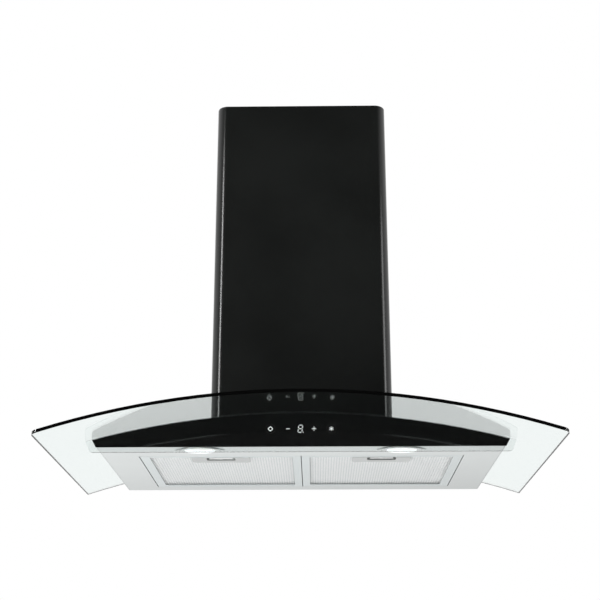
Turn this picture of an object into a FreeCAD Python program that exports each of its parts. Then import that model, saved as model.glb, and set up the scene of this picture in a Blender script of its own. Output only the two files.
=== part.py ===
import FreeCAD, Part
import Sketcher
import math
import os
import re

# Curved glass chimney hood, millimetres.  Every sub-part is drawn in the hood's own drawing frame:
# X to the right, Y towards the wall (wall face at Y 0), Z up from the flat underside.  Placement then
# lowers each one by hang_rise, so that the origin is the middle of the wall bracket's screw line.

SIZES = {
    # canopy
    "glass_width": 900.0,
    "glass_depth": 500.0,
    "glass_thick": 6.0,
    "glass_corner": 10.0,
    "arch_radius": 1444.0,
    "glass_crown": 62.6,
    "notch_gap": 0.6,
    "seal_thick": 1.8,
    "seal_width": 12.0,
    "seal_inset": 2.0,
    "seal_gap": 0.1,
    "glass_screw_x": 215.0,
    "glass_screw_front": 190.0,
    "glass_screw_rear": 50.0,
    "glass_hole_radius": 5.0,
    "glass_screw_radius": 2.5,
    "glass_head_radius": 8.0,
    # body
    "body_width": 727.4,
    "body_depth": 369.6,
    "sheet": 1.0,
    "seat_gap": 0.3,
    "front_fold": 12.0,
    "fold_lift": 1.2,
    "neck_foot": 50.0,
    "neck_rise": 30.0,
    # front panel
    "panel_width": 766.4,
    "panel_thick": 4.0,
    "panel_drop": 9.5,
    "panel_corner": 7.5,
    "panel_lean": 6.0,
    "print_half": 364.6,
    "print_ear": 7.5,
    "print_thick": 0.3,
    "control_half": 66.0,
    "control_low": 18.0,
    "control_high": 47.0,
    "control_depth": 18.0,
    "board_thick": 1.6,
    # chimney
    "chimney_width": 350.0,
    "chimney_depth": 245.0,
    "chimney_top": 765.0,
    "chimney_corner": 22.0,
    "chimney_gap": 1.6,
    "chimney_screw_y": 120.0,
    "chimney_screw_z": 84.0,
    "chimney_screw_radius": 2.0,
    "screw_head": 1.2,
    "screw_grip": 6.0,
    "upper_foot": 92.0,
    "upper_back": 2.5,
    "upper_drop": 2.0,
    "vent_front": 190.0,
    "vent_length": 130.0,
    "vent_drop": 90.0,
    "vent_slot": 5.0,
    "vent_pitch": 12.0,
    "vent_count": 8,
    "ceiling_drop": 30.0,
    "ceiling_half": 15.0,
    "ceiling_ear": 28.0,
    "ceiling_screw_x": 100.0,
    # hanging bracket
    "hang_rise": 230.0,
    "hang_half": 100.0,
    "hang_plate": 2.0,
    "hang_margin": 22.0,
    "hang_screw_radius": 3.0,
    "hook_x": 62.0,
    "hook_half": 20.0,
    "hook_seat": 12.0,
    "hook_lip": 12.0,
    "hook_reach": 9.0,
    "window_slack": 3.0,
    # motor box and blower
    "box_half": 150.0,
    "box_front": 235.0,
    "box_back": 4.0,
    "box_foot": 62.0,
    "box_top": 353.0,
    "box_screw_front": 180.0,
    "box_screw_rear": 60.0,
    "box_screw_z": 74.0,
    "blower_y": 118.0,
    "blower_z": 192.0,
    "blower_half": 76.0,
    "scroll_start": 80.0,
    "scroll_step": 10.0,
    "scroll_wall": 2.0,
    "inlet_radius": 60.0,
    "wheel_radius": 72.0,
    "wheel_half": 68.0,
    "blade_depth": 13.0,
    "blade_thick": 1.2,
    "blade_sweep": 5.0,
    "ring_thick": 1.6,
    "disc_thick": 2.0,
    "hub_half": 9.0,
    "hub_radius": 12.0,
    "shaft_radius": 4.0,
    "shaft_fit": 0.05,
    "motor_radius": 42.0,
    "motor_start": 10.0,
    "motor_end": 62.0,
    "motor_end_step": 5.0,
    "boss_radius": 18.0,
    "arm_radius": 51.0,
    "arm_width": 14.0,
    "capacitor_x": 112.0,
    "capacitor_radius": 17.0,
    "capacitor_height": 60.0,
    "terminal_half": 35.0,
    "terminal_depth": 30.0,
    "gland_x": 115.0,
    "gland_y": 40.0,
    "gland_radius": 8.0,
    "gland_bore": 3.5,
    "gland_foot": 4.0,
    "gland_nut": 7.0,
    "gland_dome": 16.0,
    "duct_radius": 75.0,
    "duct_wall": 2.0,
    "duct_y": 150.0,
    "duct_length": 62.0,
    "flange_width": 8.0,
    "stop_width": 4.0,
    "flap_height": 26.0,
    "flap_thick": 1.5,
    "flap_clear": 1.5,
    "knuckle_clear": 4.5,
    "knuckle_length": 16.0,
    "pin_radius": 2.0,
    # filters
    "filter_width": 296.2,
    "filter_inset": 69.0,
    "filter_rear": 33.2,
    "filter_height": 9.0,
    "filter_gap": 0.6,
    "filter_middle_gap": 1.4,
    "filter_side_slack": 1.5,
    "rim_outer": 17.0,
    "rim_inner": 15.0,
    "rim_front": 10.5,
    "rim_rear": 17.0,
    "top_lip": 8.0,
    "tab_x": 90.0,
    "tab_half": 14.0,
    "tab_reach": 10.0,
    "tab_thick": 1.5,
    "drain_pitch": 8.4,
    "drain_length": 5.6,
    "drain_count": 31,
    "rib_pitch": 5.0,
    "rib_height": 2.0,
    "mesh_thick": 0.8,
    "handle_width": 108.0,
    "handle_depth": 39.0,
    "handle_corner": 9.0,
    "grip_width": 53.0,
    "grip_depth": 22.0,
    "grip_corner": 5.0,
    "plate_drop": 0.4,
    "case_half": 30.0,
    "case_depth": 46.0,
    "case_wall": 1.2,
    "slide_half": 27.0,
    "slide_height": 4.6,
    "slide_depth": 20.0,
    "ridge_start": 10.0,
    "tongue_half": 18.0,
    "tongue_low": 1.6,
    "tongue_thick": 2.0,
    "latch_reach": 5.0,
    "spring_radius": 1.8,
    # lamps
    "lamp_x": 181.0,
    "lamp_inset": 21.6,
    "bezel_length": 88.0,
    "bezel_depth": 40.0,
    "bezel_drop": 1.5,
    "lens_length": 55.5,
    "lens_depth": 33.0,
    "lens_drop": 3.0,
    "lens_rise": 5.0,
    "lens_round": 2.0,
    "lamp_half": 33.0,
    "lamp_deep": 18.0,
    "lamp_height": 16.0,
    "oval_round": 0.7,
    "fin_start": 5.0,
    "fin_slot": 4.0,
    "fin_pitch": 8.0,
}

DERIVED = {
    "filter_front": "body_depth - filter_inset",
    "filter_depth": "body_depth - filter_inset - filter_rear",
    "lamp_y": "body_depth - lamp_inset",
}

BLADES = 30
FIN_SLOTS = 7
RING_SIDES = 36
PIN_SIDES = 12

doc = FreeCAD.newDocument("RangeHood")
PIECES = []


def fill_sheet():
    """Write every driving dimension to the sheet, its name beside it as the cell's alias."""
    sheet = doc.addObject("Spreadsheet::Sheet", "Sizes")
    for row, (alias, value) in enumerate(SIZES.items(), start=1):
        sheet.set(f"A{row}", alias.replace("_", " "))
        sheet.set(f"B{row}", str(value))
        sheet.setAlias(f"B{row}", alias)
    for row, (alias, formula) in enumerate(DERIVED.items(), start=len(SIZES) + 1):
        sheet.set(f"A{row}", alias.replace("_", " "))
        sheet.set(f"B{row}", "=" + formula)
        sheet.setAlias(f"B{row}", alias)
    doc.recompute()
    return sheet


SHEET = fill_sheet()


def bind(text):
    """Put the sheet's name before each alias in a formula."""
    def named(found):
        word = found.group()
        return "Sizes." + word if word in SIZES or word in DERIVED else word
    return re.sub(r"[a-z_]+", named, f"{text}")


def value(text):
    """The number that a formula of sheet aliases gives."""
    return float(SHEET.evalExpression(bind(text)))


def arch(across, radius="arch_radius", crown="glass_crown"):
    """Formula for the height of an arch of this radius and crown at a distance from the middle."""
    return f"(sqrt(({radius}) * ({radius}) - ({across}) * ({across})) - ({radius}) + ({crown}))"


def place(piece, across="0", along="0", up="0"):
    """Register a sub-part and move it from the drawing frame to the hanging frame."""
    for axis, formula in (("x", across), ("y", along), ("z", f"{up} - hang_rise")):
        piece.setExpression(f"Placement.Base.{axis}", bind(formula))
    PIECES.append(piece)
    return piece


def new_body(label, across="0", along="0", up="0"):
    """A PartDesign body at a place given by formulas; its label is the node's name."""
    body = doc.addObject("PartDesign::Body", label)
    body.Label = label
    return place(body, across, along, up)


def origin_feature(body, role):
    """One of the body's own origin planes or axes."""
    return next(item for item in body.Origin.OriginFeatures if item.Role == role)


def new_sketch(body, name, role, offset):
    """A sketch on one of the body's origin planes, moved along its normal by a formula."""
    sketch = body.newObject("Sketcher::SketchObject", name)
    sketch.AttachmentSupport = (origin_feature(body, role), [""])
    sketch.MapMode = "FlatFace"
    sketch.setExpression("AttachmentOffset.Base.z", bind(offset))
    return sketch


def drive(sketch, kind, formula, *where):
    """Add one driving dimension and bind it to the sheet."""
    index = sketch.addConstraint(Sketcher.Constraint(kind, *where, value(formula)))
    sketch.setExpression(f"Constraints[{index}]", bind(formula))


def pin_point(sketch, line, end, across, up):
    """Hold one end of an edge at a place given by two formulas."""
    for kind, formula in (("DistanceX", across), ("DistanceY", up)):
        if abs(value(formula)) < 1e-9:
            other = -2 if kind == "DistanceX" else -1
            sketch.addConstraint(Sketcher.Constraint("PointOnObject", line, end, other))
            continue
        drive(sketch, kind, formula, -1, 1, line, end)


def arc_through(start, end, radius):
    """Short arc between two points; a positive radius bulges to the left of the way from start to end."""
    chord = end - start
    half = chord.Length / 2.0
    side = FreeCAD.Vector(-chord.y, chord.x, 0.0).normalize()
    sag = abs(radius) - math.sqrt(radius * radius - half * half)
    middle = (start + end) / 2.0 + side * math.copysign(sag, radius)
    return Part.Arc(start, middle, end)


def outline(sketch, corners):
    """Closed outline through corners (across, up[, radius of the arc to the next corner])."""
    points = [FreeCAD.Vector(value(corner[0]), value(corner[1]), 0.0) for corner in corners]
    edges = []
    for index, corner in enumerate(corners):
        start, end = points[index], points[(index + 1) % len(points)]
        if len(corner) == 3:
            radius = value(corner[2])
            edge = sketch.addGeometry(arc_through(start, end, radius), False)
            first = 2 if radius > 0 else 1
        else:
            edge = sketch.addGeometry(Part.LineSegment(start, end), False)
            first = 1
        edges.append((edge, first))
    for index, (edge, first) in enumerate(edges):
        follower, joined = edges[(index + 1) % len(edges)]
        sketch.addConstraint(Sketcher.Constraint("Coincident", edge, 3 - first, follower, joined))
        pin_point(sketch, edge, first, corners[index][0], corners[index][1])
        if len(corners[index]) == 3:
            drive(sketch, "Radius", f"abs({corners[index][2]})", edge)


def box_loop(low_across, low_up, high_across, high_up):
    """Corners of a rectangle, from formulas of its lowest and highest corner."""
    return [(low_across, low_up), (high_across, low_up), (high_across, high_up), (low_across, high_up)]


def many_sided(radius, sides, across="0", up="0", start=0.0):
    """Corners of a regular polygon that takes a small or hidden round's place."""
    turns = [math.radians(start) + 2 * math.pi * index / sides for index in range(sides)]
    return [(f"{across} + {radius} * {math.cos(turn):.9f}", f"{up} + {radius} * {math.sin(turn):.9f}")
            for turn in turns]


def screw_hole(across, up, radius):
    """Outline of a hidden hole for a small screw."""
    return many_sided(f"({radius})", PIN_SIDES, across, up)


def circle(sketch, across, up, radius):
    """A circle held at a place given by formulas."""
    centre = FreeCAD.Vector(value(across), value(up), 0.0)
    edge = sketch.addGeometry(Part.Circle(centre, FreeCAD.Vector(0, 0, 1), value(radius)), False)
    pin_point(sketch, edge, 3, across, up)
    drive(sketch, "Radius", radius, edge)


def draw(sketch, loops):
    """Draw loops: a tuple is a circle's centre and radius, a list an outline's corners."""
    for loop in loops:
        if isinstance(loop, tuple):
            circle(sketch, *loop)
        else:
            outline(sketch, loop)


def pad(body, name, role, offset, length, *loops):
    """Pad loops drawn at an offset from an origin plane, along that plane's normal."""
    sketch = new_sketch(body, name + "_sketch", role, offset)
    draw(sketch, loops)
    feature = body.newObject("PartDesign::Pad", name)
    feature.Profile = sketch
    feature.setExpression("Length", bind(length))
    return feature


def cut(body, name, role, offset, length, *loops):
    """Pocket loops drawn at an offset from an origin plane, along that plane's normal."""
    sketch = new_sketch(body, name + "_sketch", role, offset)
    draw(sketch, loops)
    feature = body.newObject("PartDesign::Pocket", name)
    feature.Profile = sketch
    feature.Reversed = True
    feature.setExpression("Length", bind(length))
    return feature


def turn(body, name, role, offset, axis, *loops):
    """Revolve loops a full turn about one of the body's origin axes."""
    sketch = new_sketch(body, name + "_sketch", role, offset)
    draw(sketch, loops)
    feature = body.newObject("PartDesign::Revolution", name)
    feature.Profile = sketch
    feature.ReferenceAxis = (origin_feature(body, axis), [""])
    feature.Angle = 360.0
    return feature


def mirror(body, name, role, *features):
    """Mirror features across one of the body's origin planes."""
    feature = body.newObject("PartDesign::Mirrored", name)
    feature.Originals = list(features)
    feature.MirrorPlane = (origin_feature(body, role), [""])
    body.Tip = feature
    return feature


# Heights and half widths that several sub-parts share.
TRAY_RADIUS = "(arch_radius - seal_thick - 2 * seal_gap)"
TRAY_CROWN = "(glass_crown - seal_thick - 2 * seal_gap)"
GLASS_TOP = ("(arch_radius + glass_thick)", "(glass_crown + glass_thick)")
NECK_HALF = "(box_half - sheet - seat_gap)"
NECK_FRONT = "(box_front - sheet - seat_gap)"
NECK_REAR = "(box_back + sheet + seat_gap)"
UPPER_HALF = "(chimney_width / 2 - sheet - chimney_gap)"
UPPER_FRONT = "(chimney_depth - sheet - chimney_gap)"
PRINT_FACE = "(body_depth + seal_gap)"
PANEL_BACK = "(body_depth + print_thick + 2 * seal_gap)"


def arched_loop(half, low, high):
    """Band between two arches, each given as (radius, crown)."""
    return [(f"-({half})", arch(half, *low), low[0]), (half, arch(half, *low)),
            (half, arch(half, *high), f"-{high[0]}"), (f"-({half})", arch(half, *high))]


def under_arch(half, foot, radius, crown):
    """Flat-footed outline that closes with an arch."""
    return [(f"-({half})", foot), (half, foot), (half, arch(half, radius, crown), f"-{radius}"),
            (f"-({half})", arch(half, radius, crown))]


def glass_canopy():
    """Bent 6 mm glass with rounded front corners, a rear notch for the motor box and four holes."""
    body = new_body("glass_canopy")
    low = ("arch_radius", "glass_crown")
    pad(body, "pane", "XZ_Plane", "0", "glass_depth", arched_loop("glass_width / 2", low, GLASS_TOP))
    corner = [("glass_width / 2 + 1", "-glass_depth - 1"),
              ("glass_width / 2 + 1", "-glass_depth + glass_corner"),
              ("glass_width / 2", "-glass_depth + glass_corner", "glass_corner"),
              ("glass_width / 2 - glass_corner", "-glass_depth"),
              ("glass_width / 2 - glass_corner", "-glass_depth - 1")]
    trim = cut(body, "corner", "XY_Plane", "-10", "glass_crown + 20", corner)
    mirror(body, "corners", "YZ_Plane", trim)
    notch = box_loop("-box_half - notch_gap", "-box_front - notch_gap", "box_half + notch_gap", "1")
    cut(body, "notch", "XY_Plane", "0", "glass_crown + 20", notch)
    holes = [screw_hole(side + "glass_screw_x", "-" + along, "glass_hole_radius")
             for side in ("", "-") for along in ("glass_screw_front", "glass_screw_rear")]
    cut(body, "screw_holes", "XY_Plane", "0", "glass_crown + 20", *holes)


def glass_seal():
    """Soft strip on the tray's top that the canopy lies on: the front and both sides."""
    body = new_body("glass_seal")
    low = ("(arch_radius - seal_thick - seal_gap)", "(glass_crown - seal_thick - seal_gap)")
    high = ("(arch_radius - seal_gap)", "(glass_crown - seal_gap)")
    half = "(body_width / 2 - seal_inset)"
    pad(body, "strip", "XZ_Plane", "seal_inset", "body_depth - 2 * seal_inset", arched_loop(half, low, high))
    inner = f"({half} - seal_width)"
    middle = box_loop(f"-{inner}", "-body_depth + seal_inset + seal_width", inner, "1")
    cut(body, "middle", "XY_Plane", "0", "glass_crown", middle)


def body_shell():
    """Arched steel tray, open below, with a neck for the motor box and a window for the controls."""
    body = new_body("body_shell")
    half = "(body_width / 2)"
    pad(body, "block", "XZ_Plane", "0", "body_depth", under_arch(half, "0", TRAY_RADIUS, TRAY_CROWN))
    room = under_arch(f"({half} - sheet)", "-1", f"({TRAY_RADIUS} - sheet)", f"({TRAY_CROWN} - sheet)")
    cut(body, "room", "XZ_Plane", "sheet", "body_depth - 2 * sheet", room)
    neck = box_loop(f"-{NECK_HALF}", f"-{NECK_FRONT}", NECK_HALF, f"-{NECK_REAR}")
    pad(body, "neck", "XY_Plane", "neck_foot", "neck_rise", neck)
    throat = box_loop(f"-({NECK_HALF} - sheet)", f"-({NECK_FRONT} - sheet)", f"{NECK_HALF} - sheet",
                      f"-({NECK_REAR} + sheet)")
    cut(body, "throat", "XY_Plane", "neck_foot - 5", "neck_rise + 10", throat)
    window = box_loop("-control_half", "control_low", "control_half", "control_high")
    cut(body, "control_window", "XZ_Plane", "body_depth - 2 * sheet", "3 * sheet", window)
    holes = [screw_hole(side + "glass_screw_x", "-" + along, "glass_screw_radius + 3 * seat_gap")
             for side in ("", "-") for along in ("glass_screw_front", "glass_screw_rear")]
    cut(body, "screw_holes", "XY_Plane", "neck_foot - 20", "neck_rise + 20", *holes)
    bores = [screw_hole("-" + along, "box_screw_z", "chimney_screw_radius + seal_gap")
             for along in ("box_screw_front", "box_screw_rear")]
    cut(body, "neck_holes", "YZ_Plane", "-2 * box_half", "4 * box_half", *bores)


def base_plate():
    """Flat underside with the folded-up front band, the filter opening and the lamp openings."""
    body = new_body("base_plate")
    half = "(body_width / 2 - sheet - seat_gap)"
    front = "(body_depth - sheet - seat_gap)"
    fold = f"-({front} - front_fold)"
    profile = [(f"-{front}", "fold_lift"), (fold, "0"), ("-sheet - seat_gap", "0"),
               ("-sheet - seat_gap", "sheet"), (fold, "sheet"), (f"-{front}", "sheet + fold_lift")]
    pad(body, "plate", "YZ_Plane", f"-{half}", f"2 * {half}", profile)
    side = "(filter_width + filter_middle_gap / 2 + filter_side_slack)"
    opening = box_loop(f"-{side}", "-filter_front - filter_gap",
                       side, "-filter_front + filter_depth + filter_gap")
    cut(body, "filter_opening", "XY_Plane", "-1", "5", opening)
    lamps = [oval(side + "lamp_x", "-lamp_y", "(lens_length / 2 + seat_gap)", "(lens_depth / 2 + seat_gap)")
             for side in ("", "-")]
    cut(body, "lamp_openings", "XY_Plane", "-1", "6", *lamps)


def oval(across, up, long, short):
    """Oval of four tangent arcs from its half length and half depth."""
    end = f"({short} * oval_round)"
    reach = f"({long} - {end})"
    flat = f"(({reach} * {reach} + {short} * {short} - {end} * {end}) / (2 * ({short} - {end})))"
    side = f"({reach} + {end} * {reach} / ({flat} - {end}))"
    rise = f"({end} * ({flat} - {short}) / ({flat} - {end}))"
    return [(f"{across} - {side}", f"{up} - {rise}", f"-{flat}"),
            (f"{across} + {side}", f"{up} - {rise}", f"-{end}"),
            (f"{across} + {side}", f"{up} + {rise}", f"-{flat}"),
            (f"{across} - {side}", f"{up} + {rise}", f"-{end}")]


def panel_loop(crown):
    """Outline of the front panel: arched top, leaning ends and rounded lower corners."""
    tip = "(panel_width / 2)"
    shoulder = f"({tip} - panel_lean)"
    foot = f"({shoulder} - panel_corner)"
    rise = "(-panel_drop + panel_corner)"
    top = arch(tip, "arch_radius", crown)
    return [(f"-{tip}", top), (f"-{shoulder}", rise, "-panel_corner"), (f"-{foot}", "-panel_drop"),
            (foot, "-panel_drop", "-panel_corner"), (shoulder, rise), (tip, top, "-arch_radius")]


def front_panel():
    """Clear glass front panel that hangs a little below the tray."""
    body = new_body("front_panel")
    pad(body, "pane", "XZ_Plane", PANEL_BACK, "panel_thick", panel_loop("(glass_crown - seat_gap)"))


def panel_print():
    """Black printed mask behind the front panel, with ears that widen towards the top."""
    body = new_body("panel_print")
    ear = "(print_half + print_ear)"
    crown = "(glass_crown - 2 * seat_gap)"
    mask = [("-print_half", "0"), ("print_half", "0"), (ear, arch(ear, "arch_radius", crown), "-arch_radius"),
            (f"-{ear}", arch(ear, "arch_radius", crown))]
    pad(body, "mask", "XZ_Plane", PRINT_FACE, "print_thick", mask)


def touch_board():
    """Circuit board of the touch keys, in the tray's front window."""
    body = new_body("touch_board")
    board = box_loop("-control_half + seat_gap", "control_low + seat_gap", "control_half - seat_gap",
                     "control_high - seat_gap")
    pad(body, "board", "XZ_Plane", "body_depth - board_thick", "board_thick - seal_gap", board)


def touch_housing():
    """Plastic tray behind the touch board, open to the front."""
    body = new_body("touch_housing")
    outer = box_loop("-control_half - 4", "control_low - 4", "control_half + 4", "control_high + 4")
    inner = box_loop("-control_half + 3", "control_low + 3", "control_half - 3", "control_high - 3")
    rear = "(body_depth - board_thick - seal_gap - control_depth)"
    pad(body, "block", "XZ_Plane", rear, "control_depth", outer)
    cut(body, "room", "XZ_Plane", f"{rear} + 1.5", "control_depth", inner)


def channel_loop(half, front, back, corner):
    """U-shaped sheet section, open to the wall, with rounded front corners."""
    inner = f"({half} - sheet)"
    deep = f"({front} - sheet)"
    bend = f"({front} - {corner})"
    return [(f"-{half}", f"-{back}"), (f"-{half}", f"-{bend}", f"-{corner}"),
            (f"-{half} + {corner}", f"-{front}"),
            (f"{half} - {corner}", f"-{front}", f"-{corner}"), (half, f"-{bend}"), (half, f"-{back}"),
            (inner, f"-{back}"), (inner, f"-{bend}", f"({corner} - sheet)"),
            (f"{half} - {corner}", f"-{deep}"),
            (f"-{half} + {corner}", f"-{deep}", f"({corner} - sheet)"), (f"-{inner}", f"-{bend}"),
            (f"-{inner}", f"-{back}")]


def chimney_lower():
    """Visible chimney, open to the wall, its foot cut to the arch of the glass."""
    body = new_body("chimney_lower")
    section = channel_loop("(chimney_width / 2)", "chimney_depth", "0", "chimney_corner")
    pad(body, "walls", "XY_Plane", "neck_foot", "chimney_top - neck_foot", section)
    foot = under_arch("(chimney_width / 2 + 1)", "0", f"({GLASS_TOP[0]} + seat_gap)",
                      f"({GLASS_TOP[1]} + seat_gap)")
    cut(body, "foot", "XZ_Plane", "-1", "chimney_depth + 2", foot)
    hole = screw_hole("-chimney_screw_y", "chimney_screw_z", "chimney_screw_radius + seat_gap")
    cut(body, "screw_holes", "YZ_Plane", "-chimney_width", "2 * chimney_width", hole)


def chimney_upper():
    """Telescopic chimney section that slides inside the lower one, with side vents near its top."""
    body = new_body("chimney_upper")
    section = channel_loop(UPPER_HALF, UPPER_FRONT, "upper_back", "(chimney_corner - sheet - chimney_gap)")
    pad(body, "walls", "XY_Plane", "upper_foot", "chimney_top - upper_foot - upper_drop", section)
    slot = box_loop("-vent_front", "chimney_top - vent_drop", "-vent_front + vent_length",
                    "chimney_top - vent_drop + vent_slot")
    vent = cut(body, "vent", "YZ_Plane", "-chimney_width", "2 * chimney_width", slot)
    row = body.newObject("PartDesign::LinearPattern", "vents")
    row.Originals = [vent]
    row.Direction = (origin_feature(body, "Z_Axis"), [""])
    row.Reversed = True
    row.setExpression("Length", bind("vent_pitch * (vent_count - 1)"))
    row.setExpression("Occurrences", bind("vent_count"))
    body.Tip = row
    hole = screw_hole("-ceiling_ear / 2", "chimney_top - ceiling_drop", "chimney_screw_radius + seat_gap")
    cut(body, "screw_holes", "YZ_Plane", "-chimney_width", "2 * chimney_width", hole)


def ceiling_bracket():
    """Bracket that holds the top of the chimney to the wall: a plate with two bent ears."""
    body = new_body("ceiling_bracket")
    half = f"({UPPER_HALF} - sheet - seat_gap)"
    low, high = "chimney_top - ceiling_drop - ceiling_half", "chimney_top - ceiling_drop + ceiling_half"
    channel = [(f"-{half}", "0"), (f"-{half}", "-ceiling_ear"), (f"-{half} + hang_plate", "-ceiling_ear"),
               (f"-{half} + hang_plate", "-hang_plate"), (f"{half} - hang_plate", "-hang_plate"),
               (f"{half} - hang_plate", "-ceiling_ear"), (half, "-ceiling_ear"), (half, "0")]
    pad(body, "strip", "XY_Plane", low, f"{high} - ({low})", channel)
    bores = [(side + "ceiling_screw_x", "chimney_top - ceiling_drop", "hang_screw_radius")
             for side in ("-", "")]
    cut(body, "wall_holes", "XZ_Plane", "-1", "hang_plate + 2", *bores)
    tapped = screw_hole("-ceiling_ear / 2", "chimney_top - ceiling_drop", "chimney_screw_radius + seal_gap")
    cut(body, "ear_holes", "YZ_Plane", "-chimney_width", "2 * chimney_width", tapped)


def screw(radius, head, start, way, grip):
    """Pan-head screw: two-step head from a start along a way, and its shank the other way."""
    height = value("screw_head")
    shape = pin(head, 20, start, way, height / 2).fuse(pin(0.8 * head, 20, start, way, height))
    return shape.fuse(pin(radius, PIN_SIDES, start, -way, grip)).removeSplitter()


def side_screws(label, face, along, up, grip):
    """Pairs of pan-head screws driven inwards through two side walls, as one node."""
    radius = value("chimney_screw_radius")
    shapes = []
    for sign in (-1, 1):
        for place_y in along:
            start = FreeCAD.Vector(sign * value(face), place_y, value(up))
            shapes.append(screw(radius, 2 * radius, start, FreeCAD.Vector(sign, 0, 0), value(grip)))
    compound_node(label, shapes)


def wall_bracket():
    """Steel rail on the wall with two upturned hooks that the motor box hangs on."""
    body = new_body("wall_bracket")
    plate = box_loop("-hang_half - hang_margin", "hang_rise - hang_margin", "hang_half + hang_margin",
                     "hang_rise + hook_seat")
    pad(body, "plate", "XZ_Plane", "0", "hang_plate", plate)
    seat = "hang_rise + hook_seat"
    hook = [("-hook_reach", f"{seat} - hang_plate"), ("-hang_plate / 2", f"{seat} - hang_plate"),
            ("-hang_plate / 2", seat), ("-hook_reach + hang_plate", seat),
            ("-hook_reach + hang_plate", f"{seat} + hook_lip"), ("-hook_reach", f"{seat} + hook_lip")]
    lip = pad(body, "hook", "YZ_Plane", "hook_x - hook_half", "2 * hook_half", hook)
    mirror(body, "hooks", "YZ_Plane", lip)
    bores = [(side + "hang_half", "hang_rise", "hang_screw_radius") for side in ("-", "")]
    cut(body, "wall_holes", "XZ_Plane", "-1", "hang_plate + 2", *bores)


def motor_box():
    """Steel box over the neck that holds the blower, with hook windows in its back and a duct hole."""
    body = new_body("motor_box")
    outer = box_loop("-box_half", "-box_front", "box_half", "-box_back")
    inner = box_loop("-box_half + sheet", "-box_front + sheet", "box_half - sheet", "-box_back - sheet")
    pad(body, "block", "XY_Plane", "box_foot", "box_top - box_foot", outer)
    cut(body, "room", "XY_Plane", "box_foot - 1", "box_top - box_foot - sheet + 1", inner)
    cut(body, "duct_hole", "XY_Plane", "box_top - 2 * sheet", "3 * sheet",
        many_sided("(duct_radius - duct_wall - stop_width)", RING_SIDES, "0", "-duct_y"))
    cut(body, "gland_hole", "XY_Plane", "box_top - 2 * sheet", "3 * sheet",
        ("-gland_x", "-gland_y", "gland_radius + seal_gap"))
    low = "hang_rise + hook_seat - hang_plate - hook_lip - 2"
    windows = [box_loop(f"{side}hook_x - hook_half - window_slack", low,
                        f"{side}hook_x + hook_half + window_slack", "hang_rise + hook_seat + seat_gap")
               for side in ("", "-")]
    cut(body, "hook_windows", "XZ_Plane", "box_back - sheet", "3 * sheet", *windows)
    holes = [screw_hole("-" + along, "box_screw_z", "chimney_screw_radius + seal_gap")
             for along in ("box_screw_front", "box_screw_rear")]
    cut(body, "screw_holes", "YZ_Plane", "-2 * box_half", "4 * box_half", *holes)


def scroll_loops(wall):
    """Spiral and outlet outlines of the blower housing, grown outwards by a wall."""
    top = "(box_top - sheet - seat_gap - blower_z)"
    start = f"(scroll_start + {wall})"
    rear, low = f"({start})", f"({start} + scroll_step)"
    front = f"({start} + 2 * scroll_step)"
    mouth_front = f"(-scroll_step - {front})"
    mouth_rear = f"(blower_y - duct_y + duct_radius - duct_wall + {wall})"
    spiral = [("0", start), (mouth_front, "scroll_step", f"-{front}"),
              ("-scroll_step", f"scroll_step - {front}", f"-{low}"), (rear, "0", f"-{start}")]
    outlet = [("0", start), (mouth_front, "scroll_step"), (mouth_front, top), (mouth_rear, top)]
    return spiral, outlet


def blower_half(label, side):
    """One half of the double-inlet scroll housing."""
    body = new_body(label, "0", "-blower_y", "blower_z")
    spiral, outlet = scroll_loops("scroll_wall")
    length = "(blower_half - seal_gap)"
    start = "seal_gap" if side > 0 else "-blower_half"
    pad(body, "spiral", "YZ_Plane", start, length, spiral)
    pad(body, "outlet", "YZ_Plane", start, length, outlet)
    spiral, outlet = scroll_loops("0")
    start = "0" if side > 0 else "-blower_half + scroll_wall"
    cut(body, "spiral_room", "YZ_Plane", start, "blower_half - scroll_wall", spiral)
    cut(body, "outlet_room", "YZ_Plane", start, "blower_half - scroll_wall", outlet)
    start = "0" if side > 0 else "-2 * blower_half"
    cut(body, "inlet", "YZ_Plane", start, "2 * blower_half", many_sided("inlet_radius", RING_SIDES))


def inlet_ring(label, side):
    """Turned-in inlet ring on the side of the blower housing."""
    body = new_body(label, "0", "-blower_y", "blower_z")
    near, face = "(wheel_half + 2)", "(blower_half + seal_gap)"
    end = f"({face} + ring_thick)"
    throat = many_sided("(inlet_radius - 4)", RING_SIDES)
    tube = many_sided("(inlet_radius - 4 + ring_thick)", RING_SIDES)
    flange = many_sided("(inlet_radius + 8)", RING_SIDES)
    for name, low, loop in (("tube", near, tube), ("flange", face, flange)):
        start = low if side > 0 else f"-{end}"
        pad(body, name, "YZ_Plane", start, f"{end} - {low}", loop, throat)


def wheel_hub():
    """Hub and middle disc of the blower wheel, with a corner of the disc under each blade's root."""
    body = new_body("wheel_hub", "0", "-blower_y", "blower_z")
    bore = ("0", "0", "shaft_radius + seal_gap / 2")
    rim = many_sided("(wheel_radius - blade_depth - seal_gap)", BLADES)
    pad(body, "disc", "YZ_Plane", "-disc_thick / 2", "disc_thick", rim, bore)
    pad(body, "hub", "YZ_Plane", "-hub_half", "2 * hub_half", many_sided("hub_radius", PIN_SIDES), bore)


def prism(corners, way):
    """Solid of a flat outline carried along a vector."""
    return Part.Face(Part.makePolygon(corners + corners[:1])).extrude(way)


def ring_corners(radius, sides, start, way):
    """Corners of a regular polygon square to a way that lies across the hood."""
    side = way.cross(FreeCAD.Vector(0, 1, 0)).normalize()
    up = way.cross(side)
    turns = [2 * math.pi * index / sides for index in range(sides)]
    return [start + side * (radius * math.cos(turn)) + up * (radius * math.sin(turn)) for turn in turns]


def pin(radius, sides, start, way, length):
    """Many-sided pin from a start along a way."""
    return prism(ring_corners(radius, sides, start, way), way * length)


def compound_node(label, shapes, across="0", along="0", up="0"):
    """A node of several loose solids of one kind."""
    piece = doc.addObject("Part::Feature", label)
    piece.Shape = Part.makeCompound(shapes)
    return place(piece, across, along, up)


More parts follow.
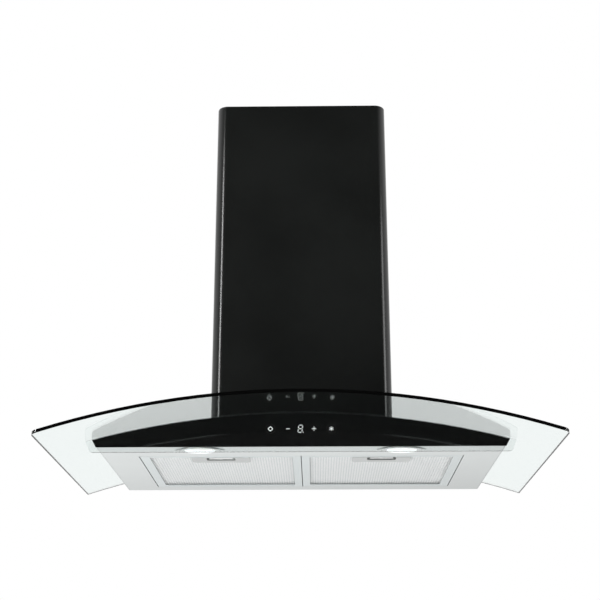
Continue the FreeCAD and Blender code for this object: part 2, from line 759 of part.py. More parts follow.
def wheel_blades():
    """Forward-bent blades between the wheel's end rings."""
    half = value("wheel_half - ring_thick - seal_gap")
    root, tip = value("wheel_radius - blade_depth"), value("wheel_radius - 1")
    sweep, thick = value("blade_sweep"), value("blade_thick")
    profile = [(root, 0), ((root + tip) / 2, sweep / 4), (tip, sweep), (tip, sweep + thick),
               ((root + tip) / 2, sweep / 4 + thick), (root, thick)]
    blade = prism([FreeCAD.Vector(-half, along, up) for along, up in profile], FreeCAD.Vector(2 * half, 0, 0))
    blades = []
    for index in range(BLADES):
        blades.append(blade.rotated(FreeCAD.Vector(), FreeCAD.Vector(1, 0, 0), 360.0 * index / BLADES))
    compound_node("wheel_blades", blades, "0", "-blower_y", "blower_z")


def wheel_rings():
    """The two end rings of the blower wheel."""
    thick, half = value("ring_thick"), value("wheel_half")
    outward = FreeCAD.Vector(1, 0, 0)
    rings = []
    for start in (-half, half - thick):
        centre = FreeCAD.Vector(start, 0, 0)
        outer = pin(value("wheel_radius"), BLADES, centre, outward, thick)
        inner = pin(value("wheel_radius - blade_depth"), BLADES, centre, outward, thick)
        rings.append(outer.cut(inner))
    compound_node("wheel_rings", rings, "0", "-blower_y", "blower_z")


def motor_shaft():
    """Ground shaft of the blower motor."""
    body = new_body("motor_shaft", "0", "-blower_y", "blower_z")
    pad(body, "shaft", "YZ_Plane", "-hub_half - 4", "hub_half + 4 + motor_end + 2",
        ("0", "0", "shaft_radius"))


def motor():
    """Blower motor inside the right half of the wheel."""
    body = new_body("motor", "0", "-blower_y", "blower_z")
    bore = ("0", "0", "shaft_radius + shaft_fit")
    pad(body, "bearings", "YZ_Plane", "motor_start", "motor_end - motor_start",
        many_sided("boss_radius", 24), bore)
    pad(body, "case", "YZ_Plane", "motor_start + motor_end_step",
        "motor_end - motor_start - 2 * motor_end_step",
        many_sided("motor_radius", 24), bore)


def motor_bracket():
    """Three-armed bracket that carries the motor from the side of the blower housing."""
    body = new_body("motor_bracket", "0", "-blower_y", "blower_z")
    back, foot = "(motor_end + seal_gap)", "(blower_half + ring_thick + 2 * seal_gap)"
    pad(body, "plate", "YZ_Plane", back, "hang_plate", many_sided("(boss_radius + 6)", 24),
        many_sided("(shaft_radius + 4)", PIN_SIDES))
    arm = [(back, "boss_radius"), (f"{back} + hang_plate", "boss_radius"),
           (f"{back} + hang_plate", "arm_radius - hang_plate"),
           (f"{foot} + hang_plate", "arm_radius - hang_plate"),
           (f"{foot} + hang_plate", "inlet_radius + 14"), (foot, "inlet_radius + 14"), (foot, "arm_radius"),
           (back, "arm_radius")]
    leg = pad(body, "arm", "XZ_Plane", "-arm_width / 2", "arm_width", arm)
    arms = body.newObject("PartDesign::PolarPattern", "arms")
    arms.Originals = [leg]
    arms.Axis = (origin_feature(body, "X_Axis"), [""])
    arms.Angle = 360.0
    arms.Occurrences = 3
    body.Tip = arms


def capacitor():
    """Run capacitor of the motor, upright against the front of the motor box."""
    body = new_body("capacitor", "capacitor_x", "-box_front + sheet + 2 + capacitor_radius", "box_foot + 40")
    pad(body, "can", "XY_Plane", "0", "capacitor_height", many_sided("capacitor_radius", 24))
    pad(body, "boss", "XY_Plane", "capacitor_height - 1", "5", many_sided("capacitor_radius / 2", PIN_SIDES))


def capacitor_clip():
    """Steel strap round the capacitor with two ears on the motor box."""
    body = new_body("capacitor_clip", "capacitor_x", "-box_front + sheet + 2 + capacitor_radius",
                    "box_foot + 60")
    outer, inner = "(capacitor_radius + 1.4)", "(capacitor_radius + seal_gap)"
    wall = "(-capacitor_radius - 1.9)"
    pad(body, "band", "XY_Plane", "0", "12", many_sided(outer, 24), many_sided(inner, 24))
    ears = box_loop("-capacitor_radius - 12", wall, "capacitor_radius + 12", f"{wall} + 1")
    pad(body, "ears", "XY_Plane", "0", "12", ears)
    cut(body, "can_room", "XY_Plane", "-1", "14", many_sided(inner, 24))


def terminal_box():
    """Plastic connection box on the left wall of the motor box."""
    body = new_body("terminal_box", "-box_half + sheet + seat_gap", "-blower_y", "blower_z")
    pad(body, "block", "YZ_Plane", "0", "terminal_depth",
        box_loop("-terminal_half", "-terminal_half", "terminal_half", "terminal_half"))
    cut(body, "room", "YZ_Plane", "2", "terminal_depth",
        box_loop("-terminal_half + 2", "-terminal_half + 2", "terminal_half - 2", "terminal_half - 2"))


def terminal_cover():
    """Lid of the connection box."""
    body = new_body("terminal_cover", "-box_half + sheet + seat_gap + terminal_depth + seal_gap", "-blower_y",
                    "blower_z")
    pad(body, "lid", "YZ_Plane", "0", "2",
        box_loop("-terminal_half", "-terminal_half", "terminal_half", "terminal_half"))


def cable_gland():
    """Gland in the top of the motor box that the supply cable enters through."""
    body = new_body("cable_gland", "-gland_x", "-gland_y", "box_top")
    bore = ("0", "0", "gland_bore")
    barrel = many_sided("gland_radius", 16)
    pad(body, "thread", "XY_Plane", "-gland_foot", "gland_foot + gland_nut", barrel, bore)
    pad(body, "nut", "XY_Plane", "seal_gap", "gland_nut", many_sided("(gland_radius + 4)", 6), bore)
    pad(body, "dome", "XY_Plane", "gland_nut", "gland_dome - gland_nut", barrel, bore)


def outlet_collar():
    """Round duct collar with its flange and the blind seats of the flaps' spindle."""
    body = new_body("outlet_collar", "0", "-duct_y", "box_top + seal_gap")
    inner = "(duct_radius - duct_wall)"
    section = [(inner, "0"), ("duct_radius + flange_width", "0"), ("duct_radius + flange_width", "duct_wall"),
               ("duct_radius", "duct_wall"), ("duct_radius", "duct_length"), (inner, "duct_length")]
    turn(body, "spigot", "XZ_Plane", "0", "Z_Axis", section)
    cut(body, "pin_seats", "YZ_Plane", "-duct_radius + duct_wall / 2 - seal_gap",
        "2 * duct_radius - duct_wall + 2 * seal_gap", ("0", "flap_height", "pin_radius + shaft_fit"))


def flap_seat():
    """Soft ring glued inside the collar that the two flaps rest on."""
    body = new_body("flap_seat", "0", "-duct_y", "box_top + seal_gap")
    inner = "(duct_radius - duct_wall - seal_gap)"
    low = "flap_height - flap_thick / 2 - seat_gap - duct_wall"
    pad(body, "ring", "XY_Plane", low, "duct_wall", many_sided(inner, 48),
        many_sided(f"({inner} - stop_width)", 48))
    cut(body, "pin_room", "YZ_Plane", "-duct_radius", "2 * duct_radius",
        screw_hole("0", "flap_height", "pin_radius + seat_gap"))


def flap_pin():
    """Spindle across the collar that both flaps hang on."""
    body = new_body("flap_pin", "0", "-duct_y", "box_top + seal_gap + flap_height")
    pad(body, "pin", "YZ_Plane", "-duct_radius + duct_wall / 2", "2 * duct_radius - duct_wall",
        ("0", "0", "pin_radius"))


def flap(label, side):
    """Half-round non-return flap with two knuckles on the spindle."""
    body = new_body(label, "0", "-duct_y", "box_top + seal_gap + flap_height")
    edge = "(duct_radius - duct_wall - flap_clear)"
    reach = f"sqrt({edge} * {edge} - knuckle_clear * knuckle_clear)"
    low = "-flap_thick / 2"
    if side > 0:
        arc = [(reach, "knuckle_clear", f"-{edge}"), ("0", edge, f"-{edge}"), (f"-{reach}", "knuckle_clear")]
    else:
        arc = [(f"-{reach}", "-knuckle_clear", f"-{edge}"), ("0", f"-{edge}", f"-{edge}"),
               (reach, "-knuckle_clear")]
    pad(body, "plate", "XY_Plane", low, "flap_thick", arc)
    starts = ("-54", "6") if side > 0 else ("-26", "34")
    for index, start in enumerate(starts):
        web = box_loop(start, "0", f"{start} + knuckle_length", "knuckle_clear + 1")
        if side < 0:
            web = box_loop(start, "-knuckle_clear - 1", f"{start} + knuckle_length", "0")
        pad(body, f"web_{index}", "XY_Plane", low, "flap_thick", web)
        pad(body, f"knuckle_{index}", "YZ_Plane", start, "knuckle_length",
            many_sided("(pin_radius + 1.6)", 8, start=22.5))
    cut(body, "pin_bore", "YZ_Plane", "-duct_radius", "2 * duct_radius", ("0", "0", "pin_radius + shaft_fit"))


def glass_fixings():
    """Four domed screws through the glass, each square to it, and the soft washers beside the glass."""
    screws, washers = [], []
    radius, head = value("glass_screw_radius"), value("glass_head_radius")
    top, low = value(GLASS_TOP[0]), value("arch_radius")
    gap, wall = value("seal_gap"), value("seal_thick")
    centre_z = value("glass_crown - arch_radius")
    for sign in (-1, 1):
        tilt = math.asin(sign * value("glass_screw_x") / low)
        outward = FreeCAD.Vector(math.sin(tilt), 0, math.cos(tilt))
        for along in ("glass_screw_front", "glass_screw_rear"):
            centre = FreeCAD.Vector(0, -value(along), centre_z)
            under = centre + outward * (top + wall + 2 * gap)
            screws.append(screw(radius, head, under, outward, value("glass_thick + 5 * seal_thick")))
            for start, thick in ((top + gap, wall), (low - gap - wall, wall)):
                place_of = centre + outward * start
                disc = pin(head + 1, 18, place_of, outward, thick)
                washers.append(disc.cut(pin(radius + gap, PIN_SIDES, place_of, outward, thick)))
    compound_node("glass_screws", screws)
    compound_node("glass_washers", washers)


def lamp_bezel(label, side):
    """Pointed-oval lamp frame, slightly proud of the underside, with an oval opening for the lens."""
    body = new_body(label, side + "lamp_x", "-lamp_y", "0")
    half, deep = "(bezel_length / 2)", "(bezel_depth / 2)"
    sweep = f"(({half} * {half} + {deep} * {deep}) / (2 * {deep}))"
    eye = [(f"-{half}", "0", f"-{sweep}"), (half, "0", f"-{sweep}")]
    pad(body, "eye", "XY_Plane", "-bezel_drop", "bezel_drop - seal_gap", eye)
    cut(body, "opening", "XY_Plane", "-bezel_drop - 1", "bezel_drop + 2",
        oval("0", "0", "(lens_length / 2 + seat_gap)", "(lens_depth / 2 + seat_gap)"))


def lamp_lens(label, side):
    """Oval diffuser of the lamp, its lower rim bevelled, standing a little below the bezel."""
    body = new_body(label, side + "lamp_x", "-lamp_y", "0")
    outline_of_lens = oval("0", "0", "(lens_length / 2)", "(lens_depth / 2)")
    lens = pad(body, "lens", "XY_Plane", "-lens_drop", "lens_drop + lens_rise", outline_of_lens)
    doc.recompute()
    rim = [f"Edge{index + 1}" for index, edge in enumerate(lens.Shape.Edges)
           if edge.BoundBox.ZMax < value("-lens_drop") + 1e-6]
    bevel = body.newObject("PartDesign::Chamfer", "rim")
    bevel.Base = (lens, rim)
    bevel.setExpression("Size", bind("lens_round"))


def lamp_housing(label, side):
    """Lamp module above the lens: a ribbed heat sink block."""
    body = new_body(label, side + "lamp_x", "-lamp_y", "lens_rise + seal_gap")
    pad(body, "block", "XY_Plane", "0", "lamp_height",
        box_loop("-lamp_half", "-lamp_deep", "lamp_half", "lamp_deep"))
    slots = []
    for index in range(FIN_SLOTS):
        start = f"-lamp_half + fin_start + {index} * fin_pitch"
        slots.append(box_loop(start, "-lamp_deep - 1", f"{start} + fin_slot", "lamp_deep + 1"))
    cut(body, "fins", "XY_Plane", "lamp_height / 2", "lamp_height", *slots)


def filter_place(side):
    """Placement formulas of a filter: middle of its front edge, on the underside."""
    return side + "(filter_width / 2 + filter_middle_gap / 2)", "-filter_front", "0"


def filter_frame(label, side):
    """Folded aluminium rim of a grease filter with rear hanging tabs, drain slots and latch window."""
    body = new_body(label, *filter_place(side))
    half = "(filter_width / 2)"
    left, right = ("rim_outer", "rim_inner") if side == "-" else ("rim_inner", "rim_outer")
    pad(body, "block", "XY_Plane", "0", "filter_height", box_loop(f"-{half}", "0", half, "filter_depth"))
    cut(body, "room", "XY_Plane", "sheet", "filter_height - 2 * sheet",
        box_loop(f"-{half} + sheet", "sheet", f"{half} - sheet", "filter_depth - sheet"))
    cut(body, "window", "XY_Plane", "-1", "3",
        box_loop(f"-{half} + {left}", "rim_front", f"{half} - {right}", "filter_depth - rim_rear"))
    cut(body, "top_window", "XY_Plane", "filter_height - 2", "5",
        box_loop(f"-{half} + top_lip", "top_lip", f"{half} - top_lip", "filter_depth - top_lip"))
    cut(body, "latch_window", "XZ_Plane", "-2 * sheet", "4 * sheet",
        box_loop("-tongue_half - filter_gap", "tongue_low - seat_gap", "tongue_half + filter_gap",
                 "tongue_low + tongue_thick + seat_gap"))
    for index, centre in enumerate(("-tab_x", "tab_x")):
        pad(body, f"tab_{index}", "XY_Plane", "sheet + seat_gap", "tab_thick",
            box_loop(f"{centre} - tab_half", "filter_depth - sheet / 2",
                     f"{centre} + tab_half", "filter_depth + tab_reach"))
    first = f"(-{half} + {left} + drain_pitch / 2)"
    slot = cut(body, "drain", "XY_Plane", "-1", "3",
               box_loop(first, "filter_depth - rim_rear + 3",
                         f"{first} + drain_length", "filter_depth - rim_rear + 5.4"))
    row = body.newObject("PartDesign::LinearPattern", "drains")
    row.Originals = [slot]
    row.Direction = (origin_feature(body, "X_Axis"), [""])
    row.setExpression("Length", bind("drain_pitch * (drain_count - 1)"))
    row.setExpression("Occurrences", bind("drain_count"))
    body.Tip = row


def filter_mesh(label, side):
    """Corrugated mesh sheet in the filter's window, ribs running front to back."""
    body = new_body(label, *filter_place(side))
    count = int(value("(filter_width - 2 * sheet - 2) / rib_pitch"))
    start = f"(-{count} * rib_pitch / 2)"
    low = "(sheet + seat_gap)"
    rib = [(start, low), (f"{start} + rib_pitch / 2", f"{low} + rib_height"), (f"{start} + rib_pitch", low),
           (f"{start} + rib_pitch", f"{low} + mesh_thick"),
           (f"{start} + rib_pitch / 2", f"{low} + rib_height + mesh_thick"), (start, f"{low} + mesh_thick")]
    length = "(filter_depth - 2 * sheet - 2 * seat_gap)"
    wave = pad(body, "rib", "XZ_Plane", f"-sheet - seat_gap - {length}", length, rib)
    ribs = body.newObject("PartDesign::LinearPattern", "ribs")
    ribs.Originals = [wave]
    ribs.Direction = (origin_feature(body, "X_Axis"), [""])
    ribs.setExpression("Length", bind(f"rib_pitch * {count - 1}"))
    ribs.Occurrences = count
    body.Tip = ribs
    cut(body, "handle_room", "XY_Plane", "-1", "filter_height", handle_room())


def handle_room():
    """Outline that the mesh layers leave free for the handle's case."""
    return box_loop("-case_half - filter_gap", "-1", "case_half + filter_gap", "case_depth + filter_gap")


def filter_core(label, side):
    """Stack of finer mesh layers above the corrugated sheet."""
    body = new_body(label, *filter_place(side))
    half = "(filter_width / 2 - sheet - seat_gap)"
    low = "(sheet + 2 * seat_gap + rib_height + mesh_thick)"
    pad(body, "layers", "XY_Plane", low, f"filter_height - sheet - seat_gap - {low}",
        box_loop(f"-{half}", "sheet + seat_gap", half, "filter_depth - sheet - seat_gap"))
    cut(body, "handle_room", "XY_Plane", "-1", "2 * filter_height", handle_room())


def filter_handle(label, side):
    """Handle plate under the mesh with a rounded finger slot and the latch case above it."""
    body = new_body(label, *filter_place(side))
    half = "(handle_width / 2)"
    front = "(rim_front + seat_gap)"
    back = f"({front} + handle_depth)"
    plate = [(f"-{half}", front), (half, front), (half, f"{back} - handle_corner", "-handle_corner"),
             (f"{half} - handle_corner", back), (f"-{half} + handle_corner", back, "-handle_corner"),
             (f"-{half}", f"{back} - handle_corner")]
    pad(body, "plate", "XY_Plane", "-plate_drop", "sheet + plate_drop", plate)
    pad(body, "case", "XY_Plane", "0", "filter_height - sheet - seat_gap",
        box_loop("-case_half", front, "case_half", "case_depth"))
    cut(body, "case_room", "XY_Plane", "sheet", "filter_height - 2 * sheet - seat_gap - case_wall",
        box_loop("-case_half + case_wall", f"{front} + case_wall",
                 "case_half - case_wall", "case_depth - case_wall"))
    cut(body, "finger_slot", "XY_Plane", "-1", "3",
        rounded(f"{front} + case_wall", "grip_width", "grip_depth", "grip_corner"))
    cut(body, "tongue_window", "XZ_Plane", f"-({front}) - 2 * case_wall", "4 * case_wall",
        box_loop("-tongue_half - filter_gap", "sheet",
                 "tongue_half + filter_gap", "tongue_low + tongue_thick + seat_gap"))


def rounded(front, width, depth, corner):
    """Rounded rectangle centred on the middle, starting at a front line."""
    half, back = f"({width} / 2)", f"({front} + {depth})"
    return [(f"-{half} + {corner}", front), (f"{half} - {corner}", front, f"-{corner}"),
            (half, f"{front} + {corner}"), (half, f"{back} - {corner}", f"-{corner}"),
            (f"{half} - {corner}", back), (f"-{half} + {corner}", back, f"-{corner}"),
            (f"-{half}", f"{back} - {corner}"), (f"-{half}", f"{front} + {corner}", f"-{corner}")]


def latch(label, side):
    """Sliding latch: tongue over the filter opening's edge, plate and finger ridge."""
    body = new_body(label, *filter_place(side))
    front = "(rim_front + 2 * seat_gap + case_wall)"
    pad(body, "tongue", "XY_Plane", "tongue_low", "tongue_thick",
        box_loop("-tongue_half", "-filter_gap - latch_reach", "tongue_half", f"{front} + 2"))
    pad(body, "slide", "XY_Plane", "tongue_low", "slide_height",
        box_loop("-slide_half", front, "slide_half", f"{front} + 2"))
    pad(body, "roof", "XY_Plane", "tongue_low + slide_height - 1.2", "1.2",
        box_loop("-slide_half", front, "slide_half", f"{front} + slide_depth"))
    pad(body, "ridge", "XY_Plane", "seat_gap", "tongue_low + slide_height - seat_gap - 0.5",
        box_loop("-grip_width / 2 + grip_corner", f"{front} + ridge_start", "grip_width / 2 - grip_corner",
                 f"{front} + ridge_start + 2"))
    pad(body, "spring_seat", "XY_Plane", "tongue_low", "slide_height",
        box_loop("-spring_radius - 1", f"{front} + slide_depth - 1.2",
                 "spring_radius + 1", f"{front} + slide_depth"))


def latch_spring(label, side):
    """Compression spring between the latch and the back of its case, as a plain sleeve."""
    body = new_body(label, *filter_place(side))
    start = "(rim_front + 2 * seat_gap + case_wall + slide_depth + seal_gap)"
    end = "(case_depth - case_wall - seal_gap)"
    centre = "(tongue_low + slide_height / 2)"
    pad(body, "sleeve", "XZ_Plane", f"-{end}", f"{end} - {start}",
        many_sided("spring_radius", PIN_SIDES, "0", centre),
        many_sided("(spring_radius - 0.6)", PIN_SIDES, "0", centre))


PAIRS = (("left", "-", -1), ("right", "", 1))


def build():
    """Model every sub-part, then check and export them."""
    for make in (glass_canopy, glass_seal, glass_fixings, body_shell, base_plate, front_panel, panel_print,
                 touch_board, touch_housing, chimney_lower, chimney_upper, ceiling_bracket, wall_bracket,
                 motor_box, wheel_hub, wheel_blades, wheel_rings, motor_shaft, motor, motor_bracket,
                 capacitor, capacitor_clip, terminal_box, terminal_cover, cable_gland, outlet_collar,
                 flap_seat, flap_pin):
        make()
    for name, side, sign in PAIRS:
        blower_half(f"blower_housing_{name}", sign)
        inlet_ring(f"inlet_ring_{name}", sign)
        for make in (lamp_bezel, lamp_lens, lamp_housing, filter_frame, filter_mesh, filter_core,
                     filter_handle, latch, latch_spring):
            make(f"{make.__name__}_{name}", side)
    flap("flap_front", -1)
    flap("flap_rear", 1)
    side_screws("box_screws", "box_half", [-value("box_screw_front"), -value("box_screw_rear")],
                "box_screw_z", "screw_grip")
    side_screws("chimney_screws", "chimney_width / 2", [-value("chimney_screw_y")], "chimney_screw_z",
                "screw_grip")
    side_screws("ceiling_screws", UPPER_HALF, [-value("ceiling_ear / 2")], "chimney_top - ceiling_drop",
                "screw_grip")
    export()


def export():
    """Recompute, refuse any failed object, and write one STEP file per sub-part."""
    doc.recompute()
    for item in doc.Objects:
        if "Invalid" in item.State or "Error" in item.State:
            raise RuntimeError(f"{item.Name} failed: {item.State}")
    os.makedirs("parts", exist_ok=True)
    for piece in PIECES:
        if piece.Shape.isNull() or not piece.Shape.isValid():
            raise RuntimeError(f"{piece.Label} has no valid shape")
        piece.Shape.exportStep(f"parts/{piece.Label}.step")
        print(f"{piece.Label:28s} {len(piece.Shape.Solids):3d} {piece.Shape.Volume:12.1f}")


build()
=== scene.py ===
"""Dresses the curved glass hood's frame: camera, light, finishes and the fine pieces."""

import logging
import math
from collections.abc import Callable, Iterable
from dataclasses import dataclass
from enum import Enum

import bmesh
import bpy
from mathutils import Matrix, Vector


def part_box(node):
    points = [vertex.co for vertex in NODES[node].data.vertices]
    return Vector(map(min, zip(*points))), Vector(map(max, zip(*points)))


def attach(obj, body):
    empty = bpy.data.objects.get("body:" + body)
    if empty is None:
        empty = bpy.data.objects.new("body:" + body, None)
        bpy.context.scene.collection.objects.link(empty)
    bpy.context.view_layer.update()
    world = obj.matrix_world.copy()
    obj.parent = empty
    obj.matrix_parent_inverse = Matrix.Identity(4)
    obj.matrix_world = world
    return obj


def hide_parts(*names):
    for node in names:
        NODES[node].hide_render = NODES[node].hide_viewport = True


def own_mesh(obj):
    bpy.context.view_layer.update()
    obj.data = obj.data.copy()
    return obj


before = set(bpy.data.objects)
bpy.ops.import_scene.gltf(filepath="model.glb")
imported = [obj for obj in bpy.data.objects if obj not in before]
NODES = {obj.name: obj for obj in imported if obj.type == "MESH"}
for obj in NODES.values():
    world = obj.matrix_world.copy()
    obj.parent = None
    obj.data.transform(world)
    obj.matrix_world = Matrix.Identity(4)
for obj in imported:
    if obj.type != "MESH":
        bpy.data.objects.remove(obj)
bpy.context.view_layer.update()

LOG = logging.getLogger("hood")
UNDERSIDE_Z = -0.230
PRINT_FRONT_Y = -0.3700
SKIN = 0.00002
FINE_GRAIN = (500.0, 500.0, 500.0)

Colour = tuple[float, float, float]


class Slot(Enum):
    """The record's material slots."""

    GLASS = "clear_glass"
    PRINT = "mask_black"
    STEEL = "satin_steel"
    ENAMEL = "black_enamel"
    ZINC = "zinc_steel"
    ALUMINIUM = "aluminium"
    MESH = "filter_mesh"
    GREY = "grey_plastic"
    BLACK = "black_plastic"
    WHITE = "white_plastic"
    DIFFUSER = "lamp_diffuser"
    SCREW = "screw_steel"
    RUBBER = "rubber"
    BOARD = "circuit_green"
    MOTOR = "motor_steel"
    SPRING = "spring_steel"


class Side(Enum):
    """Left or right twin of a sub-assembly, as seen from the front."""

    LEFT = -1
    RIGHT = 1

    @property
    def word(self) -> str:
        """Ending of the twin's node names."""
        return self.name.lower()


# ---------------------------------------------------------------- finishes


class NodeWork:
    """Adds and joins the nodes of one tree.

    Args:
        tree: the node tree.
    """

    def __init__(self, tree: bpy.types.NodeTree) -> None:
        self.tree = tree

    def node(self, kind: str, **settings: object) -> bpy.types.Node:
        """Add a node and set its properties.

        Args:
            kind: the node's type name.
            settings: property names and values.
        Returns:
            The new node.
        """
        made = self.tree.nodes.new(kind)
        for name, value in settings.items():
            setattr(made, name, value)
        return made

    def join(self, source: bpy.types.NodeSocket, target: bpy.types.NodeSocket) -> None:
        """Link an output to an input."""
        self.tree.links.new(source, target)

    def work_out(self, operation: str, *values: bpy.types.NodeSocket | float) -> bpy.types.NodeSocket:
        """Work out one number from sockets or constants.

        Args:
            operation: the Math node's operation.
            values: its inputs.
        Returns:
            The result.
        """
        made = self.node("ShaderNodeMath", operation=operation)
        for value, target in zip(values, made.inputs):
            if isinstance(value, bpy.types.NodeSocket):
                self.join(value, target)
            else:
                target.default_value = value
        return made.outputs[0]

    def span(self, source: bpy.types.NodeSocket, low: float, high: float, source_low: float = 0.3,
             source_high: float = 0.7, **settings: object) -> bpy.types.NodeSocket:
        """Map a pattern to a range of numbers.

        Args:
            source: the pattern.
            low: result at source_low.
            high: result at source_high.
            source_low: lowest value read.
            source_high: highest value read.
            settings: other properties of the node.
        Returns:
            The mapped number.
        """
        made = self.node("ShaderNodeMapRange", **settings)
        for name, value in (("From Min", source_low), ("From Max", source_high),
                            ("To Min", low), ("To Max", high)):
            made.inputs[name].default_value = value
        self.join(source, made.inputs["Value"])
        return made.outputs["Result"]

    def sent_on(self, rays: bpy.types.Node) -> bpy.types.NodeSocket:
        """1 for a ray that metal or glass sends on, 0 for the others."""
        return self.work_out("MAXIMUM", rays.outputs["Is Glossy Ray"], rays.outputs["Is Transmission Ray"])

    def mirrored_only(self, rays: bpy.types.Node, shade: bpy.types.NodeSocket) -> bpy.types.NodeSocket:
        """Show a shade to mirrored rays, and white to those that only pass glass."""
        return self.work_out("MAXIMUM", shade, self.work_out("SUBTRACT", 1.0, rays.outputs["Glossy Depth"]))


class Wiring(NodeWork):
    """Adds and joins the shader nodes of one material.

    Args:
        name: the material's name.
    """

    def __init__(self, name: str) -> None:
        self.material = bpy.data.materials.new(name)
        self.material.use_nodes = True
        super().__init__(self.material.node_tree)
        self.shader = self.tree.nodes["Principled BSDF"]
        self.place = self.node("ShaderNodeTexCoord").outputs["Object"]

    def fix(self, **values: object) -> None:
        """Set constants on the shader's own sockets; underscores stand for spaces."""
        for name, value in values.items():
            self.shader.inputs[name.replace("_", " ")].default_value = value

    def along(self, axis: str) -> bpy.types.NodeSocket:
        """Distance along one axis of the frame, in metres."""
        parts = self.node("ShaderNodeSeparateXYZ")
        self.join(self.place, parts.inputs[0])
        return parts.outputs[axis]

    def stretched(self, stretch: Colour) -> bpy.types.NodeSocket:
        """Object coordinates scaled by a factor for each axis."""
        mapping = self.node("ShaderNodeMapping")
        mapping.inputs["Scale"].default_value = stretch
        self.join(self.place, mapping.inputs["Vector"])
        return mapping.outputs["Vector"]

    def noise(self, scale: float, detail: float = 3.0, stretch: Colour = (1, 1, 1)) -> bpy.types.NodeSocket:
        """A noise pattern.

        Args:
            scale: cells to the metre.
            detail: number of finer octaves.
            stretch: scale of each axis.
        Returns:
            The pattern's factor, about 0.3 to 0.7.
        """
        made = self.node("ShaderNodeTexNoise")
        made.inputs["Scale"].default_value = scale
        made.inputs["Detail"].default_value = detail
        self.join(self.stretched(stretch), made.inputs["Vector"])
        return made.outputs["Fac"]

    def cells(self, scale: float, feature: str = "F1", stretch: Colour = (1, 1, 1),
              output: str = "Distance") -> bpy.types.NodeSocket:
        """A cellular pattern.

        Args:
            scale: cells to the metre.
            feature: which distance the cells show.
            stretch: scale of each axis.
            output: name of the socket to read.
        Returns:
            The chosen output.
        """
        made = self.node("ShaderNodeTexVoronoi", feature=feature)
        made.inputs["Scale"].default_value = scale
        self.join(self.stretched(stretch), made.inputs["Vector"])
        return made.outputs[output]

    def shades(self, source: bpy.types.NodeSocket, *stops: tuple[float, Colour]) -> bpy.types.NodeSocket:
        """Colour ramp over a pattern.

        Args:
            source: the pattern.
            stops: position and colour of each stop.
        Returns:
            The colour.
        """
        ramp = self.node("ShaderNodeValToRGB")
        for _ in stops[2:]:
            ramp.color_ramp.elements.new(0.5)
        for element, (position, colour) in zip(ramp.color_ramp.elements, stops):
            element.position = position
            element.color = (*colour, 1.0)
        self.join(source, ramp.inputs["Fac"])
        return ramp.outputs["Color"]

    def with_painted_shade(self, colour: bpy.types.NodeSocket, painted_shade_slope: Colour,
              middle: Colour = (0.0, -0.3, 0.0)) -> bpy.types.NodeSocket:
        """Darken a colour evenly along the axes with painted shade, where less light falls.

        Args:
            colour: the colour.
            painted_shade_slope: how much painted shade takes off per metre along each axis.
            middle: where it stays as it is.
        Returns:
            The darkened colour.
        """
        away = self.node("ShaderNodeVectorMath", operation="SUBTRACT")
        away.inputs[1].default_value = middle
        loss = self.node("ShaderNodeVectorMath", operation="DOT_PRODUCT")
        loss.inputs[1].default_value = painted_shade_slope
        result = self.node("ShaderNodeVectorMath", operation="SCALE")
        kept = self.work_out("SUBTRACT", 1.0, loss.outputs["Value"])
        for source, target in ((self.place, away.inputs[0]), (away.outputs[0], loss.inputs[0]),
                               (colour, result.inputs[0]), (kept, result.inputs["Scale"])):
            self.join(source, target)
        return result.outputs[0]

    def waves(self, pitch: float, start: float) -> bpy.types.NodeSocket:
        """Even waves across X: 1 at the start and at each pitch from it, -1 halfway.

        Args:
            pitch: length of a wave in metres.
            start: where a crest lies.
        Returns:
            The wave.
        """
        turn = math.tau / pitch
        return self.work_out("COSINE", self.work_out("MULTIPLY_ADD", self.along("X"), turn, -turn * start))

    def paint(self, colour: bpy.types.NodeSocket) -> None:
        """Use a pattern as the base colour."""
        self.join(colour, self.shader.inputs["Base Color"])

    def gloss(self, roughness: bpy.types.NodeSocket) -> None:
        """Use a pattern as the roughness."""
        self.join(roughness, self.shader.inputs["Roughness"])

    def relief(self, height: bpy.types.NodeSocket, depth: float, strength: float = 0.5) -> None:
        """Bump the surface by a pattern.

        Args:
            height: the pattern.
            depth: the height in metres that a factor of 1 stands for.
            strength: how much of it shows.
        """
        bump = self.node("ShaderNodeBump")
        bump.inputs["Strength"].default_value = strength
        bump.inputs["Distance"].default_value = depth
        self.join(height, bump.inputs["Height"])
        self.join(bump.outputs["Normal"], self.shader.inputs["Normal"])


def scaled(colour: Colour, factor: float) -> Colour:
    """A colour made lighter or darker, kept below white."""
    return tuple(min(1.0, part * factor) for part in colour)


@dataclass(frozen=True)
class Glass:
    """Polished float glass whose thickness tints it green, as its edges show.

    Args:
        name: the material's name.
        tint: what stays of each colour, read with density.
        density: how fast the tint deepens, per metre.
        mirror: specular level of the surface.
    """

    name: str
    tint: Colour = (0.72, 0.82, 0.80)
    density: float = 58.0
    mirror: float = 0.5

    def make(self) -> bpy.types.Material:
        """Build the material."""
        wiring = Wiring(self.name)
        smudge = wiring.noise(9.0, 5.0)
        wiring.paint(wiring.shades(smudge, (0.3, (0.985, 0.992, 0.99)), (0.7, (1.0, 1.0, 1.0))))
        wiring.gloss(wiring.span(smudge, 0.0, 0.006))
        wiring.fix(Transmission_Weight=1.0, IOR=1.5, Specular_IOR_Level=self.mirror)
        wiring.relief(wiring.noise(14.0, 1.0), 0.00002, 0.3)
        body = wiring.node("ShaderNodeVolumeAbsorption")
        body.inputs["Color"].default_value = (*self.tint, 1.0)
        body.inputs["Density"].default_value = self.density
        wiring.join(body.outputs["Volume"], wiring.tree.nodes["Material Output"].inputs["Volume"])
        return wiring.material


